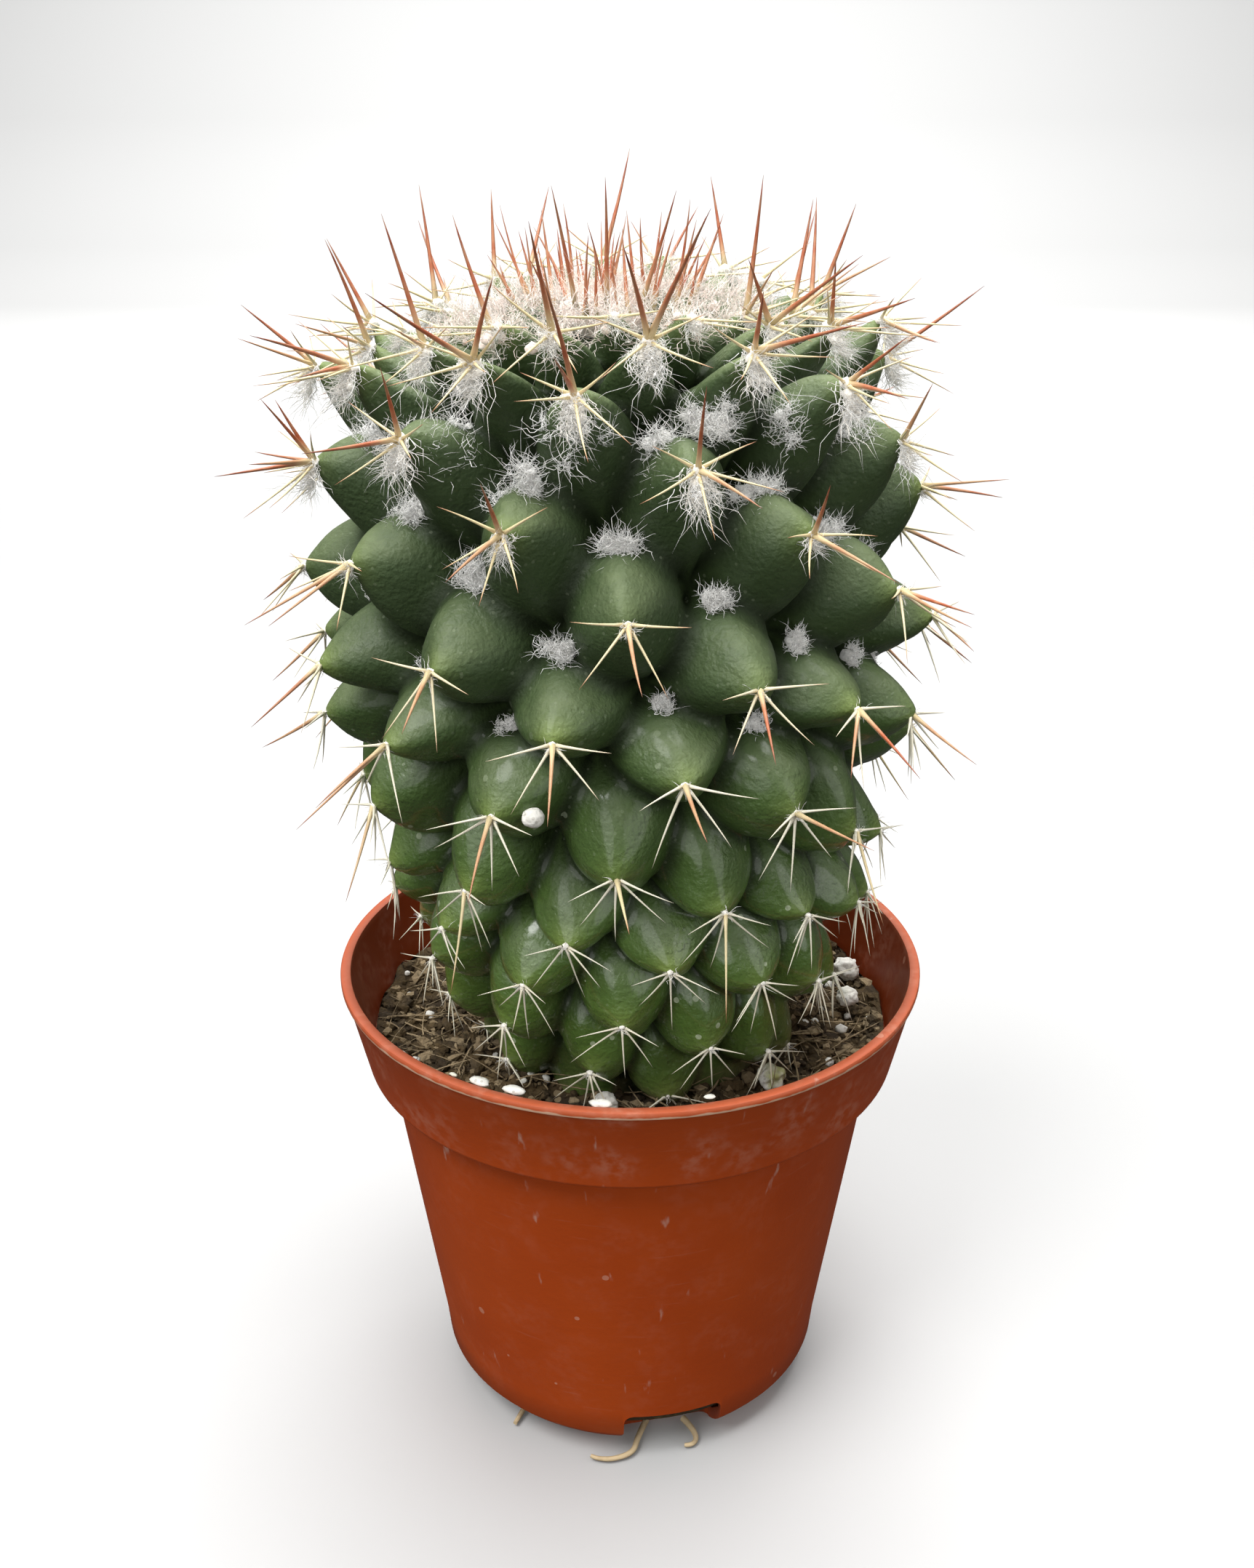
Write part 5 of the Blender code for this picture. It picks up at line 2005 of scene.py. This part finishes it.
    def build_crown_spines(self, finishes: Finishes, rng: np.random.Generator) -> None:
        """Build the bunch of young spines that stands in the crown's wool.

        Args:
            finishes: all finishes.
            rng: the source of chance.
        """
        batch = Strands(6, 6, Taper.SPINE)
        for _ in range(44):
            angle, reach = rng.uniform(0, math.tau), 0.0075 * math.sqrt(rng.random())
            out = np.array((math.cos(angle), math.sin(angle), 0.0))
            start = self.lattice.stand(out * reach + np.array((0.0, 0.0, 0.0670)))
            heading = unit(out * rng.uniform(-0.15, 0.70) + np.array((0.0, 0.0, 1.0))
                           + rng.normal(size=3) * 0.12)
            batch.add(start, heading, rng.uniform(0.0032, 0.0076), rng.uniform(0.00013, 0.00019),
                      rng.normal(size=3) * 0.05, rng.uniform(0.85, 1.0))
        for bearing, rise, length in ((-22, 66, 9.5), (6, 74, 9.5), (38, 60, 9.0)):
            start = self.lattice.stand(np.array((0.00008 * bearing, -0.004, 0.0675)))
            batch.add(start, Central(bearing, rise, length).direction(), length * MM, 0.00021,
                      rng.normal(size=3) * 0.03, Tint.RUST.value)
        piece = batch.build("crown_young_spines")
        dress(piece, finishes.spine, "rust_spines", "crown_spines")

    def build(self, finishes: Finishes) -> None:
        """Build all the wool and the young spines in it."""
        rng = np.random.default_rng(self.seed)
        self.build_axils(finishes, rng)
        self.build_areoles(finishes, rng)
        self.build_crown(finishes, rng)
        self.build_crown_spines(finishes, rng)


@dataclass
class Roots:
    """The thin roots that come out of the drain notches, and the hidden taproot."""

    pot: GrowerPot
    radius: float = 0.00030
    routes: tuple = (
        ("root_strand_1", 0, ((-1.7, -4.3, 0.8), (-3.0, -2.5, 0.7), (-3.7, -0.9, 0.6),
                              (-5.7, -0.6, 0.5), (-7.3, -1.0, 0.5), (-7.8, -1.4, 0.6))),
        ("root_strand_2", 0, ((1.9, -3.8, 0.8), (2.5, -2.6, 0.7), (2.7, -1.3, 0.5),
                              (2.0, -0.6, 0.5), (1.3, -0.8, 0.5))),
        ("root_strand_3", 5, ((2.0, -3.9, 0.8), (2.8, -2.1, 0.6), (3.4, -0.7, 0.5))),
    )

    def build(self, finishes: Finishes) -> None:
        """Draw each root as a smooth curve that thins to its end.

        Args:
            finishes: all finishes.
        """
        for name, notch, points in self.routes:
            turn = Matrix.Rotation(self.pot.notch_angle(notch), 3, "Z")
            curve = bpy.data.curves.new(name + "_fibre", "CURVE")
            curve.dimensions = "3D"
            curve.bevel_depth = self.radius
            curve.bevel_resolution = 3
            curve.use_fill_caps = True
            spline = curve.splines.new("NURBS")
            spline.points.add(len(points) - 1)
            spline.order_u = 3
            spline.use_endpoint_u = True
            spline.resolution_u = 8
            for index, (point, (along, out, high)) in enumerate(zip(spline.points, points)):
                spot = turn @ Vector((along * MM, -self.pot.body_bottom_radius - out * MM, high * MM))
                point.co = (*spot, 1.0)
                point.radius = 1.1 - 0.6 * index / len(points)
            strand = bpy.data.objects.new(name + "_fibre", curve)
            bpy.context.scene.collection.objects.link(strand)
            activate(strand)
            bpy.ops.object.convert(target="MESH")
            strand = bpy.context.object
            strand.data.shade_smooth()
            dress(strand, finishes.root, "root", name)
        self.finish_taproot(finishes)

    @staticmethod
    def finish_taproot(finishes: Finishes) -> None:
        """Give the frame's own taproot its finish."""
        low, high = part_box("taproot")
        for item in bpy.context.scene.objects:
            if item.get("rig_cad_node") == "taproot":
                item.data.materials.clear()
                item.data.materials.append(finishes.root)
        LOG.info("taproot stays as in the frame, %.1f mm long", (high.z - low.z) / MM)


@dataclass(frozen=True)
class Lamp:
    """One round soft lamp: its place, its width, its power and what it looks at."""

    name: str
    place: tuple[float, float, float]
    size: float
    power: float
    target: tuple[float, float, float] = (0.0, 0.0, 0.06242)

    def hang(self) -> None:
        """Hang the lamp and turn it to its target."""
        data = bpy.data.lights.new(self.name, "AREA")
        data.shape = "DISK"
        data.size = self.size
        data.energy = self.power
        lamp = bpy.data.objects.new(self.name, data)
        bpy.context.scene.collection.objects.link(lamp)
        lamp.location = self.place
        aim = Vector(self.target) - lamp.location
        lamp.rotation_euler = aim.to_track_quat("-Z", "Y").to_euler()


@dataclass
class Studio:
    """The camera, the floor and the soft light."""

    sensor: float = 36.0
    lens: float = 33.3952
    shift: float = -0.00204
    target: tuple = (0.0, 0.0, 0.06242)
    camera_place: tuple = (0.0, -0.1240, 0.11295)
    lamps: tuple[Lamp, ...] = (
        Lamp("key_lamp", (-0.20, -0.20, 0.46), 0.26, 2.0),
        Lamp("top_lamp", (0.06, 0.00, 0.52), 0.30, 2.1),
        Lamp("fill_lamp", (0.38, -0.30, 0.16), 0.40, 0.55),
        Lamp("front_lamp", (-0.30, -0.55, 0.22), 0.50, 1.1),
        Lamp("wall_lamp", (0.0, 1.0, 1.3), 1.4, 44.0, (0.0, 1.9, 0.1)),
    )

    def build_camera(self) -> None:
        """Set the camera at the viewing angle."""
        data = bpy.data.cameras.new("camera")
        data.sensor_width = self.sensor
        data.lens = self.lens
        data.shift_x = self.shift
        data.clip_start, data.clip_end = 0.005, 5.0
        camera = bpy.data.objects.new("camera", data)
        bpy.context.scene.collection.objects.link(camera)
        camera.location = self.camera_place
        aim = Vector(self.target) - camera.location
        camera.rotation_euler = aim.to_track_quat("-Z", "Y").to_euler()
        bpy.context.scene.camera = camera

    def build_floor(self) -> None:
        """Lay the pale floor, which curves up far behind the plant."""
        clear_selection()
        bpy.ops.mesh.primitive_plane_add(size=3.0, location=(0.0, 0.0, 0.0))
        floor = bpy.context.object
        floor.name = "floor"
        bpy.ops.object.mode_set(mode="EDIT")
        bpy.ops.mesh.select_mode(type="EDGE")
        bpy.ops.mesh.select_all(action="DESELECT")
        bm = bmesh.from_edit_mesh(floor.data)
        back = max(bm.edges, key=lambda e: e.verts[0].co.y + e.verts[1].co.y)
        back.select = True
        bm.select_flush(True)
        bmesh.update_edit_mesh(floor.data)
        for rise, back_step in ((0.05, 0.25), (0.15, 0.20), (0.25, 0.10), (1.6, 0.02)):
            bpy.ops.mesh.extrude_edges_move()
            bpy.ops.transform.translate(value=(0.0, back_step, rise))
        bpy.ops.object.mode_set(mode="OBJECT")
        floor.data.shade_smooth()
        made = Material("pale_floor")
        made.put("Base Color", (0.50, 0.50, 0.496))
        made.put("Roughness", 0.85)
        floor.data.materials.append(made.data)
        floor.visible_diffuse = False
        floor.visible_glossy = False

    def build_light(self) -> None:
        """Set the soft sky and the lamps."""
        world = bpy.data.worlds.new("soft_sky")
        bpy.context.scene.world = world
        world.use_nodes = True
        sheet = NodeSheet(world.node_tree)
        sky = world.node_tree.nodes["Background"]
        sky.inputs["Color"].default_value = (1.0, 1.0, 1.0, 1.0)
        way = sheet.add("ShaderNodeTexCoord").outputs["Generated"]
        height = sheet.add("ShaderNodeSeparateXYZ", {0: way}).outputs["Z"]
        bright = sheet.maths("MULTIPLY_ADD", sheet.between(height, -0.15, 0.75), 0.50, 0.06)
        world.node_tree.links.new(bright, sky.inputs["Strength"])
        for lamp in self.lamps:
            lamp.hang()
        bpy.context.scene.view_settings.view_transform = "Standard"

    def build(self) -> None:
        """Set up the whole studio."""
        self.build_camera()
        self.build_floor()
        self.build_light()


def main() -> None:
    """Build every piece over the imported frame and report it."""
    logging.basicConfig(level=logging.INFO, format="%(name)s: %(message)s")
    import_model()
    clear_selection()
    Studio().build()
    _, pot_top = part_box("pot")
    pot = GrowerPot(rim_radius=pot_top.x, height=pot_top.z)
    lattice = Lattice(soil_level=pot.height - 0.0075)
    groups = SharedGroups()
    finishes = Finishes(
        plastic=PotPlastic(pot.height - pot.lip_height, pot.height).make(groups),
        skin=CactusSkin().make(groups), spine=SpineFinish().make(groups),
        wool=WoolFinish().make(groups), peat=PeatFinish().make(groups),
        grit=GritFinish().make(groups), root=RootFinish().make(groups))
    pot.build(finishes)
    PottingSoil(pot, lattice.soil_level, lattice.offset).build(finishes)
    Perlite(pot.height).build(finishes)
    Stem(lattice).build(finishes)
    SpineClusters(lattice).build(finishes)
    Wool(lattice).build(finishes)
    Roots(pot).build(finishes)


if __name__ == "__main__":
    main()
